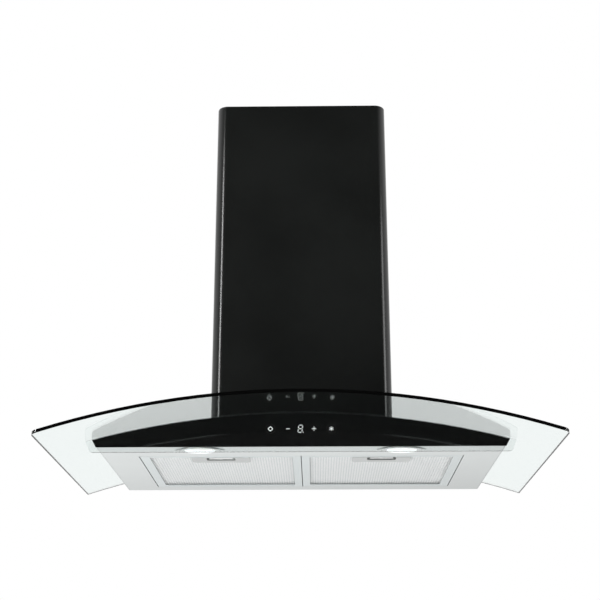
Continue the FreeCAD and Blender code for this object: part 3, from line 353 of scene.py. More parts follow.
@dataclass(frozen=True)
class Brushed:
    """Brushed or rolled metal with a fine grain along one axis.

    Args:
        name: the material's name.
        colour: mean colour.
        stretch: noise scale of each axis; the smallest is the grain's way.
        rough: lowest and highest roughness.
        contrast: colour change of the grain.
        depth: depth of the grain in metres.
        metal: share of bare metal; the rest is dull oxide.
        painted_shade_slope: how fast painted shade darkens the sheet along each axis, per metre, where less
            light falls.
    """

    name: str
    colour: Colour
    stretch: Colour = (6.0, 900.0, 900.0)
    rough: tuple[float, float] = (0.26, 0.42)
    contrast: float = 0.06
    depth: float = 0.00003
    metal: float = 1.0
    painted_shade_slope: Colour = (0.0, 0.0, 0.0)

    def make(self) -> bpy.types.Material:
        """Build the material."""
        wiring = Wiring(self.name)
        grain = wiring.noise(1.0, 4.0, self.stretch)
        cloud = wiring.noise(7.0, 3.0)
        both = wiring.work_out("MULTIPLY_ADD", cloud, 0.45, wiring.span(grain, 0.15, 0.45))
        colour = wiring.shades(both, (0.25, scaled(self.colour, 1.0 - self.contrast)),
                               (0.75, scaled(self.colour, 1.0 + self.contrast)))
        # painted shade: the colour darkens along the axes, where less light falls.
        wiring.paint(wiring.with_painted_shade(colour, self.painted_shade_slope))
        wiring.gloss(wiring.span(grain, *self.rough))
        wiring.fix(Metallic=self.metal)
        wiring.relief(grain, self.depth, 0.35)
        return wiring.material


@dataclass(frozen=True)
class Enamel:
    """Smooth stoved enamel with faint orange peel and a little dust.

    Args:
        name: the material's name.
        colour: mean colour.
        rough: lowest and highest roughness.
        mirror: specular level.
        peel: depth of the orange peel in metres.
    """

    name: str
    colour: Colour
    rough: tuple[float, float] = (0.14, 0.24)
    mirror: float = 0.5
    peel: float = 0.00003

    def make(self) -> bpy.types.Material:
        """Build the material."""
        wiring = Wiring(self.name)
        cloud = wiring.noise(5.0, 4.0)
        speck = wiring.noise(900.0, 2.0)
        mottle = wiring.work_out("MULTIPLY", cloud, wiring.span(speck, 0.8, 1.3))
        wiring.paint(wiring.shades(mottle, (0.3, scaled(self.colour, 0.8)), (0.7, scaled(self.colour, 1.35))))
        wiring.gloss(wiring.span(cloud, *self.rough))
        wiring.fix(Specular_IOR_Level=self.mirror)
        wiring.relief(wiring.noise(260.0, 1.0), self.peel, 0.4)
        return wiring.material


@dataclass(frozen=True)
class Galvanised:
    """Zinc-coated sheet with its crystal spangle.

    Args:
        name: the material's name.
        colour: mean colour.
        spangle: crystals to the metre.
    """

    name: str
    colour: Colour = (0.52, 0.54, 0.55)
    spangle: float = 85.0

    def make(self) -> bpy.types.Material:
        """Build the material."""
        wiring = Wiring(self.name)
        crystal = wiring.cells(self.spangle, output="Color")
        grey = wiring.node("ShaderNodeRGBToBW")
        wiring.join(crystal, grey.inputs[0])
        tone = wiring.span(grey.outputs[0], 0.35, 0.65, 0.2, 0.8)
        wiring.paint(wiring.shades(tone, (0.3, scaled(self.colour, 0.86)), (0.7, scaled(self.colour, 1.14))))
        wiring.gloss(wiring.span(tone, 0.3, 0.48, 0.35, 0.65))
        wiring.fix(Metallic=1.0)
        wiring.relief(wiring.noise(700.0, 3.0), 0.00004, 0.3)
        return wiring.material


@dataclass(frozen=True)
class Moulded:
    """Moulded plastic or rubber with a spark-eroded grain.

    Args:
        name: the material's name.
        colour: mean colour.
        rough: lowest and highest roughness.
        grain: grains to the metre.
        depth: depth of the grain in metres.
    """

    name: str
    colour: Colour
    rough: tuple[float, float] = (0.42, 0.6)
    grain: float = 1800.0
    depth: float = 0.00006

    def make(self) -> bpy.types.Material:
        """Build the material."""
        wiring = Wiring(self.name)
        cloud = wiring.noise(16.0, 3.0)
        wiring.paint(wiring.shades(cloud, (0.3, scaled(self.colour, 0.9)), (0.7, scaled(self.colour, 1.1))))
        wiring.gloss(wiring.span(cloud, *self.rough))
        wiring.relief(wiring.noise(self.grain, 2.0), self.depth, 0.5)
        return wiring.material


@dataclass(frozen=True)
class WireFleece:
    """Layers of crossed aluminium wire above a filter's front mesh.

    Args:
        name: the material's name.
        colour: colour of the wires.
        shade: painted shade in the gaps between them.
        pitch: cells to the metre.
        painted_shade_slope: how fast painted shade darkens it along each axis, per metre.
    """

    name: str
    colour: Colour
    shade: Colour
    pitch: float = 420.0
    painted_shade_slope: Colour = (0.06, 0.1, 0.0)

    def make(self) -> bpy.types.Material:
        """Build the material."""
        wiring = Wiring(self.name)
        gap = wiring.cells(self.pitch, "DISTANCE_TO_EDGE", (1.0, 0.45, 1.0))
        wire = wiring.span(gap, 0.0, 1.0, 0.02, 0.16)
        # painted shade: the gaps between the wires are darker.
        colour = wiring.shades(wire, (0.0, self.colour), (0.55, scaled(self.colour, 0.92)), (1.0, self.shade))
        # painted shade: darker along the axes, where less light falls.
        wiring.paint(wiring.with_painted_shade(colour, self.painted_shade_slope))
        wiring.gloss(wiring.span(wiring.noise(60.0), 0.3, 0.5))
        wiring.fix(Metallic=0.35)
        inward = wiring.span(wire, 1.0, 0.0, 0.0, 1.0)
        wiring.relief(inward, 0.0003, 0.25)
        return wiring.material


@dataclass(frozen=True)
class RibbedWire:
    """Expanded aluminium mesh with painted shade: bright on its ribs and darker in the valleys between them,
    where shade falls.

    Args:
        name: the material's name.
        start: where a rib's crest lies.
        pitch: distance from rib to rib.
        colour: colour of the crests.
        shade: painted shade of the valleys.
        painted_shade_slope: how fast painted shade darkens it along each axis, per metre.
    """

    name: str
    start: float
    pitch: float
    colour: Colour = (1.0, 1.0, 1.0)
    shade: Colour = (0.7, 0.74, 0.735)
    painted_shade_slope: Colour = (0.06, 0.1, 0.0)

    def make(self) -> bpy.types.Material:
        """Build the material."""
        wiring = Wiring(self.name)
        film = wiring.noise(90.0, 3.0)
        # painted shade: the colour darkens in the valleys between the ribs.
        ribs = wiring.waves(self.pitch, self.start)
        level = wiring.work_out("MULTIPLY_ADD", ribs, 0.42, wiring.span(film, 0.47, 0.53))
        colour = wiring.shades(level, (0.1, self.shade), (0.7, self.colour))
        # painted shade: darker along the axes, where less light falls.
        wiring.paint(wiring.with_painted_shade(colour, self.painted_shade_slope))
        wiring.gloss(wiring.span(film, 0.42, 0.55))
        wiring.fix(Metallic=0.1, Specular_IOR_Level=0.3)
        wiring.relief(wiring.noise(1500.0, 2.0), 0.00003, 0.3)
        return wiring.material


@dataclass(frozen=True)
class FrostedLens:
    """Frosted white diffuser with fine prisms, softly lit from inside.

    Args:
        name: the material's name.
        glow: strength of its own light.
    """

    name: str
    glow: float = 0.35

    def make(self) -> bpy.types.Material:
        """Build the material."""
        wiring = Wiring(self.name)
        prism = wiring.cells(520.0, "SMOOTH_F1")
        wiring.paint(wiring.shades(prism, (0.0, (0.95, 0.95, 0.945)), (0.8, (0.86, 0.87, 0.87))))
        wiring.gloss(wiring.span(prism, 0.22, 0.38, 0.0, 0.8))
        wiring.fix(Emission_Color=(1.0, 1.0, 0.985, 1.0), Emission_Strength=self.glow, Subsurface_Weight=0.2)
        wiring.relief(prism, 0.00025, 0.5)
        return wiring.material


@dataclass(frozen=True)
class CircuitBoard:
    """Green lacquered board with tracks and pads.

    Args:
        name: the material's name.
    """

    name: str

    def make(self) -> bpy.types.Material:
        """Build the material."""
        wiring = Wiring(self.name)
        track = wiring.cells(190.0, "F1", (1.0, 1.0, 2.6))
        line = wiring.span(track, 0.0, 1.0, 0.28, 0.34)
        wiring.paint(wiring.shades(line, (0.0, (0.55, 0.42, 0.12)), (0.5, (0.03, 0.22, 0.09)),
                                   (1.0, (0.015, 0.11, 0.045))))
        wiring.gloss(wiring.span(wiring.noise(40.0), 0.2, 0.35))
        wiring.relief(line, 0.00005, 0.4)
        return wiring.material


@dataclass(frozen=True)
class PrintedMark:
    """White screen print with a glow of its own.

    Args:
        name: the material's name.
        colour: colour of the ink.
        glow: strength of its own light.
    """

    name: str
    colour: Colour
    glow: float

    def make(self) -> bpy.types.Material:
        """Build the material."""
        wiring = Wiring(self.name)
        ink = wiring.noise(2400.0, 2.0)
        wiring.paint(wiring.shades(ink, (0.3, scaled(self.colour, 0.9)), (0.7, scaled(self.colour, 1.05))))
        wiring.gloss(wiring.span(ink, 0.4, 0.55))
        wiring.fix(Emission_Color=(*self.colour, 1.0), Emission_Strength=self.glow)
        return wiring.material


FINISHES = {
    Slot.GLASS: Glass("clear_float_glass"),
    Slot.PRINT: Enamel("black_screen_print", (0.0025, 0.0028, 0.0027), (0.5, 0.6), 0.05, 0.00001),
    # painted shade: the steel darkens towards the right, where less light falls.
    Slot.STEEL: Brushed("satin_steel_sheet", (0.69, 0.72, 0.715), painted_shade_slope=(0.167, 0.0, 0.0)),
    Slot.ENAMEL: Enamel("black_stoved_enamel", (0.0052, 0.0058, 0.0054), (0.16, 0.22), 0.5, 0.00001),
    Slot.ZINC: Galvanised("galvanised_sheet"),
    # painted shade: the aluminium darkens towards the right and towards the wall, where less light falls.
    Slot.ALUMINIUM: Brushed("rolled_aluminium", (0.64, 0.69, 0.69), (900.0, 8.0, 900.0), (0.28, 0.38), 0.02,
                            metal=0.6, painted_shade_slope=(0.167, 0.35, 0.0)),
    Slot.GREY: Moulded("grey_moulding", (0.5, 0.5, 0.49)),
    Slot.BLACK: Moulded("black_moulding", (0.018, 0.018, 0.019)),
    Slot.WHITE: Moulded("white_moulding", (0.8, 0.8, 0.78)),
    Slot.DIFFUSER: FrostedLens("frosted_lamp_lens"),
    Slot.SCREW: Brushed("zinc_plated_screw", (0.7, 0.71, 0.72), FINE_GRAIN, (0.16, 0.3), 0.05),
    Slot.RUBBER: Moulded("soft_black_seal", (0.03, 0.03, 0.03), (0.6, 0.78), 2600.0, 0.00008),
    Slot.BOARD: CircuitBoard("green_board"),
    Slot.MOTOR: Enamel("grey_motor_lacquer", (0.22, 0.23, 0.24), (0.3, 0.45), 0.5, 0.00006),
    Slot.SPRING: Brushed("drawn_spring_wire", (0.55, 0.55, 0.56), (700.0, 60.0, 700.0), (0.2, 0.35), 0.08),
}

MADE: dict[str, bpy.types.Material] = {}


def finish_of(finish: object) -> bpy.types.Material:
    """The material of a finish, built once.

    Args:
        finish: any of the finish classes.
    Returns:
        Its material.
    """
    if finish.name not in MADE:
        MADE[finish.name] = finish.make()
    return MADE[finish.name]


def dress(slot: Slot, *names: str, finish: object | None = None) -> None:
    """Give CAD nodes their finish.

    Args:
        slot: the material slot they belong to.
        names: the nodes.
        finish: a finish of their own instead of the slot's.
    """
    material = finish_of(finish or FINISHES[slot])
    for name in names:
        mesh = NODES[name].data
        mesh.materials.clear()
        mesh.materials.append(material)
    LOG.info("dressed %s as %s", ", ".join(names), material.name)


# ---------------------------------------------------------------- bench


class Bench:
    """Models one new piece with operators, as by hand."""

    def __init__(self, kind: str, stretch: Colour = (1.0, 1.0, 1.0), **settings: object) -> None:
        """Start from a primitive.

        Args:
            kind: name of the primitive's operator.
            stretch: scale of each axis.
            settings: the operator's arguments.
        """
        self.clear()
        getattr(bpy.ops.mesh, f"primitive_{kind}_add")(**settings)
        self.piece = bpy.context.object
        self.piece.scale = stretch
        self.rest()

    @staticmethod
    def clear() -> None:
        """Leave edit mode and deselect everything."""
        if bpy.context.object is not None and bpy.context.object.mode != "OBJECT":
            bpy.ops.object.mode_set(mode="OBJECT")
        bpy.ops.object.select_all(action="DESELECT")

    @staticmethod
    def rest() -> None:
        """Put the active piece's place, turn and scale into its mesh."""
        bpy.ops.object.transform_apply(location=True, rotation=True, scale=True)

    def edit(self) -> None:
        """Enter edit mode with nothing selected."""
        bpy.context.view_layer.objects.active = self.piece
        bpy.ops.object.mode_set(mode="EDIT")
        bpy.ops.mesh.select_mode(type="FACE")
        bpy.ops.mesh.select_all(action="DESELECT")

    def leave(self) -> None:
        """Go back to object mode."""
        bpy.ops.object.mode_set(mode="OBJECT")

    def pick(self, test: Callable[[Vector, Vector], bool], kind: str = "FACE") -> None:
        """Select parts of the mesh by their place and normal.

        Args:
            test: takes a centre and a normal, and says whether to select.
            kind: FACE, EDGE or VERT.
        """
        bpy.ops.mesh.select_mode(type=kind)
        bpy.ops.mesh.select_all(action="DESELECT")
        mesh = bmesh.from_edit_mesh(self.piece.data)
        mesh.normal_update()
        if kind == "FACE":
            chosen = [face for face in mesh.faces if test(face.calc_center_median(), face.normal)]
        elif kind == "EDGE":
            chosen = [edge for edge in mesh.edges
                      if test((edge.verts[0].co + edge.verts[1].co) / 2,
                              (edge.verts[1].co - edge.verts[0].co).normalized())]
        else:
            chosen = [vert for vert in mesh.verts if test(vert.co, vert.normal)]
        for part in chosen:
            part.select_set(True)
        mesh.select_flush_mode()
        bmesh.update_edit_mesh(self.piece.data)

    @staticmethod
    def extrude(way: Vector) -> None:
        """Extrude the selected faces by a vector."""
        bpy.ops.mesh.extrude_region_move(TRANSFORM_OT_translate={"value": way})

    def pierce(self, rim: float) -> None:
        """Open a flat piece through its middle, leaving a rim."""
        self.pick(lambda centre, normal: abs(normal.z) > 0.9)
        bpy.ops.mesh.inset(thickness=rim)
        bpy.ops.mesh.bridge_edge_loops()

    def modify(self, kind: str, **settings: object) -> None:
        """Add a modifier and apply it.

        Args:
            kind: the modifier's type.
            settings: its properties.
        """
        modifier = self.piece.modifiers.new(kind.lower(), kind)
        for name, value in settings.items():
            setattr(modifier, name, value)
        bpy.context.view_layer.objects.active = self.piece
        bpy.ops.object.modifier_apply(modifier=modifier.name)

    def move(self, place: Vector, turn: Matrix | None = None) -> None:
        """Turn the mesh about the origin and move it to its place."""
        self.piece.data.transform(Matrix.Translation(place) @ (turn or Matrix.Identity(4)))


def twin(piece: bpy.types.Object) -> bpy.types.Object:
    """A copy of a piece with its own mesh."""
    copy = piece.copy()
    copy.data = piece.data.copy()
    bpy.context.scene.collection.objects.link(copy)
    return copy


def join(pieces: Iterable[bpy.types.Object]) -> bpy.types.Object:
    """Make several loose pieces one object.

    Args:
        pieces: the objects; the first keeps its name.
    Returns:
        The joined object.
    """
    Bench.clear()
    pieces = list(pieces)
    for piece in pieces:
        piece.select_set(True)
    bpy.context.view_layer.objects.active = pieces[0]
    bpy.ops.object.join()
    return pieces[0]


def mount(piece: bpy.types.Object, name: str, slot: Slot, body: str, finish: object | None = None,
          smooth: float | None = None) -> bpy.types.Object:
    """Name a finished piece, dress it and let it ride on its body.

    Args:
        piece: the finished object.
        name: its name.
        slot: the material slot that it takes its finish from.
        body: the CAD body that carries it.
        finish: a finish of its own instead of the slot's.
        smooth: edges below this angle, in degrees, are shaded smooth.
    Returns:
        The piece.
    """
    piece.name = name
    piece.data.name = name
    piece.data.materials.clear()
    piece.data.materials.append(finish_of(finish or FINISHES[slot]))
    if smooth is not None:
        Bench.clear()
        piece.select_set(True)
        bpy.context.view_layer.objects.active = piece
        bpy.ops.object.shade_smooth_by_angle(angle=math.radians(smooth))
    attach(piece, body)
    LOG.info("made %s, %d faces", name, len(piece.data.polygons))
    return piece


# ---------------------------------------------------------------- sub-assemblies


@dataclass(frozen=True)
class Canopy:
    """Bent glass pane, the seal that it lies on and its four screws."""

    def build(self) -> None:
        """Dress the pane and its fixings."""
        dress(Slot.GLASS, "glass_canopy")
        dress(Slot.RUBBER, "glass_washers")
        dress(Slot.RUBBER, "glass_seal", finish=Moulded("grey_seal_strip", (0.2, 0.21, 0.21), (0.55, 0.7)))
        dress(Slot.SCREW, "glass_screws")


@dataclass(frozen=True)
class TouchKey:
    """One sign of the touch controls.

    Args:
        name: the sign's name.
        across: its middle along the panel, in metres.
        shape: builds the flat sign with its face up.
    """

    name: str
    across: float
    shape: Callable[[], bpy.types.Object]


@dataclass(frozen=True)
class FrontPanel:
    """Clear panel with its black mask, the printed control signs and the board behind them.

    Args:
        sign_height: height of the signs' middle above the underside.
        ink: thickness of the printed signs.
        stroke: width of a sign's lines.
        ring_radius: outer radius of the ring sign.
        ray_reach: length of the star's rays.
        bar: half length of the minus and plus signs.
        digit_width: width of the digit.
        digit_height: height of the digit.
        slant: the digit's lean in radians.
        halo_radius: radius of the touch rings round the outer signs.
        halo_width: width of these rings.
    """

    sign_height: float = 0.0328
    ink: float = 0.00004
    stroke: float = 0.0012
    ring_radius: float = 0.0046
    ray_reach: float = 0.003
    bar: float = 0.004
    digit_width: float = 0.0072
    digit_height: float = 0.0132
    slant: float = 0.13
    halo_radius: float = 0.0088
    halo_width: float = 0.0004

    def build(self) -> None:
        """Dress the panel and print its signs."""
        dress(Slot.GLASS, "front_panel", finish=Glass("front_panel_glass", mirror=0.35))
        dress(Slot.PRINT, "panel_print")
        dress(Slot.BOARD, "touch_board")
        dress(Slot.BLACK, "touch_housing")
        white = PrintedMark("white_key_print", (0.8, 0.82, 0.81), 0.75)
        for key in (TouchKey("lamp_key_sign", -0.0539, self.ring_sign),
                    TouchKey("minus_key_sign", -0.0225, self.minus_sign),
                    TouchKey("level_digit", -0.0004, self.digit),
                    TouchKey("plus_key_sign", 0.0240, self.plus_sign),
                    TouchKey("timer_key_sign", 0.0550, self.star_sign)):
            self.print_on(key.shape(), key.name, key.across, white)
        grey = PrintedMark("dim_touch_ring", (0.03, 0.032, 0.031), 0.0)
        for name, across in (("lamp_key_halo", -0.0539), ("timer_key_halo", 0.0550)):
            bench = self.disc(self.halo_radius, 48)
            bench.pierce(self.halo_width)
            bench.leave()
            self.print_on(bench.piece, name, across, grey)

    def print_on(self, piece: bpy.types.Object, name: str, across: float, finish: PrintedMark) -> None:
        """Stand a flat sign up behind the glass.

        Args:
            piece: the sign, flat and face up at the origin.
            name: its name.
            across: its middle along the panel.
            finish: its ink.
        """
        place = Vector((across, PRINT_FRONT_Y - SKIN, UNDERSIDE_Z + self.sign_height))
        piece.data.transform(Matrix.Translation(place) @ Matrix.Rotation(math.pi / 2, 4, "X"))
        mount(piece, name, Slot.WHITE, "hood", finish)

    def disc(self, radius: float, steps: int) -> Bench:
        """A thin disc in edit mode.

        Args:
            radius: its radius.
            steps: number of its sides.
        Returns:
            The bench that it lies on.
        """
        bench = Bench("cylinder", vertices=steps, radius=radius, depth=self.ink,
                      location=(0, 0, self.ink / 2))
        bench.edit()
        return bench

    def strip(self, length: float, width: float) -> Bench:
        """A thin strip along X in edit mode.

        Args:
            length: its length.
            width: its width.
        Returns:
            The bench that it lies on.
        """
        bench = Bench("cube", size=1.0, stretch=(length, width, self.ink), location=(0, 0, self.ink / 2))
        bench.edit()
        return bench

    def ring_sign(self) -> bpy.types.Object:
        """Small ring with four short points."""
        bench = self.disc(self.ring_radius * 0.84, 32)
        bench.pierce(self.stroke)
        for turn in range(4):
            way = Vector((math.cos(turn * math.pi / 2), math.sin(turn * math.pi / 2), 0.0))
            bench.pick(lambda centre, normal: normal.dot(way) > 0.975
                       and centre.dot(way) > self.ring_radius * 0.6)
            bench.extrude(way * self.ring_radius * 0.16)
        bench.leave()
        return bench.piece

    def minus_sign(self) -> bpy.types.Object:
        """Rounded bar."""
        bench = self.strip(1.7 * self.bar, self.stroke)
        bench.pick(lambda centre, way: abs(way.z) > 0.9, "EDGE")
        bpy.ops.mesh.bevel(offset=self.stroke * 0.3, segments=3)
        bench.leave()
        return bench.piece

    def plus_sign(self) -> bpy.types.Object:
        """Cross whose four arms are extruded from one block."""
        thin = 0.8 * self.stroke
        bench = self.strip(thin, thin)
        for way in (Vector((1, 0, 0)), Vector((-1, 0, 0)), Vector((0, 1, 0)), Vector((0, -1, 0))):
            bench.pick(lambda centre, normal: normal.dot(way) > 0.9 and abs(centre.cross(way).z) < thin / 4)
            bench.extrude(way * (self.bar - thin / 2))
        bench.leave()
        return bench.piece

    def star_sign(self) -> bpy.types.Object:
        """Six rays extruded from every other side of a small disc."""
        core = 1.4 * self.stroke
        bench = self.disc(core, 12)
        for turn in range(6):
            angle = (turn + 0.25) * math.pi / 3
            way = Vector((math.cos(angle), math.sin(angle), 0.0))
            bench.pick(lambda centre, normal: normal.dot(way) > 0.99 and centre.length < 1.2 * core)
            bench.extrude(way * self.ray_reach)
        bench.leave()
        bench.move(Vector(), Matrix.Rotation(math.pi / 12, 4, "Z"))
        return bench.piece

    def segment(self, length: float) -> bpy.types.Object:
        """One pointed segment of the digit, lying along X."""
        bench = self.strip(length - 2.4 * self.stroke, self.stroke)
        for sign in (-1, 1):
            bench.pick(lambda centre, normal: normal.x * sign > 0.9)
            bench.extrude(Vector((sign * self.stroke * 0.5, 0, 0)))
            bpy.ops.transform.resize(value=(1.0, 0.25, 1.0))
        bench.leave()
        return bench.piece

    def digit(self) -> bpy.types.Object:
        """Slanted seven-segment digit with its point."""
        level, upright = self.segment(self.digit_width), self.segment(self.digit_height / 2)
        places = [(level, 0.0, up, 0.0) for up in (-1, 0, 1)]
        places += [(upright, across, up / 2, math.pi / 2) for across in (-1, 1) for up in (-1, 1)]
        bars = []
        for blank, across, up, turn in places:
            bars.append(twin(blank))
            place = Vector((across * self.digit_width / 2, up * self.digit_height / 2, 0))
            bars[-1].data.transform(Matrix.Translation(place) @ Matrix.Rotation(turn, 4, "Z"))
        point = Bench("cylinder", vertices=16, radius=self.stroke * 0.6, depth=self.ink,
                      location=(self.digit_width * 0.85, -self.digit_height / 2, self.ink / 2))
        bars.append(point.piece)
        for blank in (level, upright):
            bpy.data.objects.remove(blank)
        whole = join(bars)
        lean = Matrix.Identity(4)
        lean[0][1] = math.tan(self.slant)
        whole.data.transform(lean)
        return whole


@dataclass(frozen=True)
class Tray:
    """Arched tray and its flat underside."""

    def build(self) -> None:
        """Dress the sheet metal."""
        dress(Slot.STEEL, "body_shell")
        # painted shade: the underside darkens towards the right and towards the wall, where less light falls.
        dress(Slot.STEEL, "base_plate",
              finish=Brushed("satin_underside", (0.69, 0.72, 0.715), painted_shade_slope=(0.167, 0.6, 0.0)))


@dataclass(frozen=True)
class Lamp:
    """One lamp: bezel, lens, module and the dark marks of painted shade at the bezel's ends.

    Args:
        side: left or right twin.
        across: distance of the lamp from the hood's middle.
        along: distance of the lamp from the wall.
        bezel_half: half length of the bezel.
        notch: length of the dark notch marks at the bezel's ends, which are painted shade.
        notch_thick: their thickness.
        notch_drop: how far they lie under the hood's underside.
    """

    side: Side
    across: float = 0.181
    along: float = 0.348
    bezel_half: float = 0.044
    notch: float = 0.0032
    notch_thick: float = 0.00016
    notch_drop: float = 0.00156

    def build(self) -> None:
        """Dress the lamp and add the painted shade at its bezel's ends."""
        word = self.side.word
        dress(Slot.STEEL, f"lamp_bezel_{word}",
              finish=Brushed("satin_lamp_bezel", (0.72, 0.74, 0.735), FINE_GRAIN, (0.3, 0.42), 0.03))
        dress(Slot.DIFFUSER, f"lamp_lens_{word}")
        dress(Slot.ZINC, f"lamp_housing_{word}",
              finish=Brushed("cast_lamp_sink", (0.5, 0.51, 0.52), (300.0, 300.0, 300.0), (0.4, 0.55), 0.08))
        for end in (-1, 1):
            self.notch_shade(end)

    def notch_shade(self, end: int) -> None:
        """Painted shade: a small dark arrowhead outline that stands for the shade at one end of the bezel.

        Args:
            end: -1 for the left end, 1 for the right.
        """
        # painted shade: a thin black outline laid just under the bezel's end.
        bench = Bench("cylinder", vertices=3, radius=self.notch * 0.62, depth=self.notch_thick)
        bench.edit()
        bench.pierce(self.notch * 0.16)
        bench.leave()
        turn = Matrix.Rotation(math.radians(-30.0 if end > 0 else 150.0), 4, "Z")
        across = self.side.value * self.across + end * (self.bezel_half - 2.6 * self.notch)
        bench.move(Vector((across, -self.along, UNDERSIDE_Z - self.notch_drop)), turn)
        ending = "inner" if end * self.side.value < 0 else "outer"
        mount(bench.piece, f"bezel_notch_shade_{self.side.word}_{ending}", Slot.BLACK, "hood")


@dataclass(frozen=True)
class GreaseFilter:
    """One grease filter: rim, expanded mesh, wire layers, handle and latch.

    Args:
        side: left or right twin.
        centre: distance of the filter's middle from the hood's middle.
        front: distance of its front edge from the wall.
        half: half width of the mesh.
        start: where the mesh starts behind the filter's front edge.
        length: length of the mesh.
        pitch: distance from rib to rib.
        rise: height of a rib.
        cell: length of a diamond of the expanded mesh.
        wire: thickness of the mesh's strands.
        room_half: half width of the gap left for the handle's case.
        room_depth: depth of that gap.
        spring_rear: distance of the latch spring's fixed end from the wall.
        spring_length: its length at rest.
        spring_radius: its outer radius.
        spring_wire: radius of its wire.
        spring_turns: number of its turns.
        travel: how far the latch draws back; not used.
    """

    side: Side
    centre: float = 0.1488
    front: float = 0.3006
    half: float = 0.145
    start: float = 0.0014
    length: float = 0.2646
    pitch: float = 0.005
    rise: float = 0.002
    cell: float = 0.0075
    wire: float = 0.00052
    room_half: float = 0.0306
    room_depth: float = 0.0468
    spring_rear: float = 0.2559
    spring_length: float = 0.0123
    spring_radius: float = 0.0018
    spring_wire: float = 0.00026
    spring_turns: int = 6
    travel: float = 0.006

    def build(self) -> None:
        """Dress the filter and weave its mesh."""
        word = self.side.word
        dress(Slot.ALUMINIUM, f"filter_frame_{word}")
        dress(Slot.MESH, f"filter_core_{word}",
              finish=WireFleece("layered_filter_wire", (0.98, 0.99, 0.99), (0.82, 0.84, 0.84)))
        dress(Slot.ALUMINIUM, f"filter_handle_{word}",
              finish=Brushed("satin_handle_plate", (0.55, 0.565, 0.56), (9.0, 900.0, 900.0), (0.3, 0.42),
                             0.04))
        dress(Slot.GREY, f"latch_{word}", finish=Moulded("grey_latch_moulding", (0.8, 0.805, 0.8)))
        self.wind()
        self.weave()

    def wind(self) -> None:
        """Coil spring behind the latch, built at rest; in the hood the latch shortens it as it draws back."""
        bench = Bench("circle", vertices=8, radius=self.spring_wire, fill_type="NOTHING",
                      location=(self.spring_radius - self.spring_wire, 0, self.spring_wire),
                      rotation=(math.pi / 2, 0, 0))
        pitch = (self.spring_length - 2 * self.spring_wire) / self.spring_turns
        bench.modify("SCREW", axis="Z", screw_offset=pitch, iterations=self.spring_turns, steps=14,
                     render_steps=14)
        bench.edit()
        bpy.ops.mesh.select_all(action="SELECT")
        bpy.ops.mesh.fill_holes(sides=0)
        bpy.ops.mesh.select_all(action="SELECT")
        bpy.ops.mesh.normals_make_consistent(inside=False)
        bench.leave()
        word = self.side.word
        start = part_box(f"latch_spring_{word}")[0]
        bench.move(Vector((self.side.value * self.centre, -self.spring_rear - self.spring_length,
                           start[2] + self.spring_radius)), Matrix.Rotation(-math.pi / 2, 4, "X"))
        piece = mount(bench.piece, f"coil_spring_{word}", Slot.SPRING, f"filter_{word}", smooth=70.0)
        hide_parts(f"latch_spring_{word}")
        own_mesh(piece)

    def weave(self) -> None:
        """Expanded mesh: a grid turned to diamonds, folded into ribs and given thickness."""
        columns = round(2 * self.half / (self.pitch / 4))
        rows = 2 * round(self.length / self.cell)
        bench = Bench("grid", x_subdivisions=columns, y_subdivisions=rows, size=1.0,
                      stretch=(2 * self.half, self.length, 1.0), location=(0, self.length / 2, 0))
        bench.edit()
        bpy.ops.mesh.select_all(action="SELECT")
        bpy.ops.mesh.unsubdivide(iterations=1)
        quarter = self.pitch / 4

        def phase(place: Vector) -> int:
            """Which quarter of a rib's width a point lies on."""
            return round((place.x + self.half) / quarter) % 4

        bench.pick(lambda place, _: phase(place) in (1, 3), "VERT")
        bpy.ops.transform.translate(value=(0, 0, self.rise / 2))
        bench.pick(lambda place, _: phase(place) == 2, "VERT")
        bpy.ops.transform.translate(value=(0, 0, self.rise))
        room = self.room_depth - self.start
        bench.pick(lambda place, _: abs(place.x) < self.room_half and place.y < room, "VERT")
        bpy.ops.mesh.delete(type="VERT")
        bench.leave()
        bench.modify("WIREFRAME", thickness=self.wire, use_replace=True, use_even_offset=False,
                     use_boundary=True)
        low = UNDERSIDE_Z + 0.0013 + self.wire / 2
        bench.move(Vector((self.side.value * self.centre, -self.front + self.start, low)))
        word = self.side.word
        crest = self.side.value * self.centre - self.half
        piece = mount(bench.piece, f"expanded_mesh_{word}", Slot.MESH, f"filter_{word}",
                      RibbedWire(f"ribbed_wire_{word}", crest, self.pitch))
        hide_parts(f"filter_mesh_{word}")


@dataclass(frozen=True)
class Chimney:
    """Two-part chimney with its screws and the bracket at its top."""

    def build(self) -> None:
        """Dress the chimney."""
        dress(Slot.ENAMEL, "chimney_lower", "chimney_upper")
        dress(Slot.SCREW, "chimney_screws", "ceiling_screws",
              finish=Enamel("blacked_screw", (0.02, 0.02, 0.021), (0.25, 0.4), 0.5))
        dress(Slot.ZINC, "ceiling_bracket", "wall_bracket")


@dataclass(frozen=True)
class MotorBox:
    """Box that hangs on the wall bracket, with its electrical fittings."""

    def build(self) -> None:
        """Dress the box."""
        dress(Slot.ZINC, "motor_box", "capacitor_clip")
        dress(Slot.SCREW, "box_screws")
        dress(Slot.WHITE, "capacitor")
        dress(Slot.WHITE, "terminal_box", "terminal_cover")
        dress(Slot.BLACK, "cable_gland")


@dataclass(frozen=True)
class Blower:
    """Double-inlet blower with its motor."""

    def build(self) -> None:
        """Dress the blower."""
        dress(Slot.ZINC, "motor_bracket", "inlet_ring_left", "inlet_ring_right")
        dress(Slot.GREY, "blower_housing_left", "blower_housing_right")
        dress(Slot.ZINC, "wheel_hub", "wheel_blades", "wheel_rings",
              finish=Galvanised("zinc_wheel", (0.58, 0.6, 0.61), 140.0))
        dress(Slot.MOTOR, "motor")
        dress(Slot.SCREW, "motor_shaft")


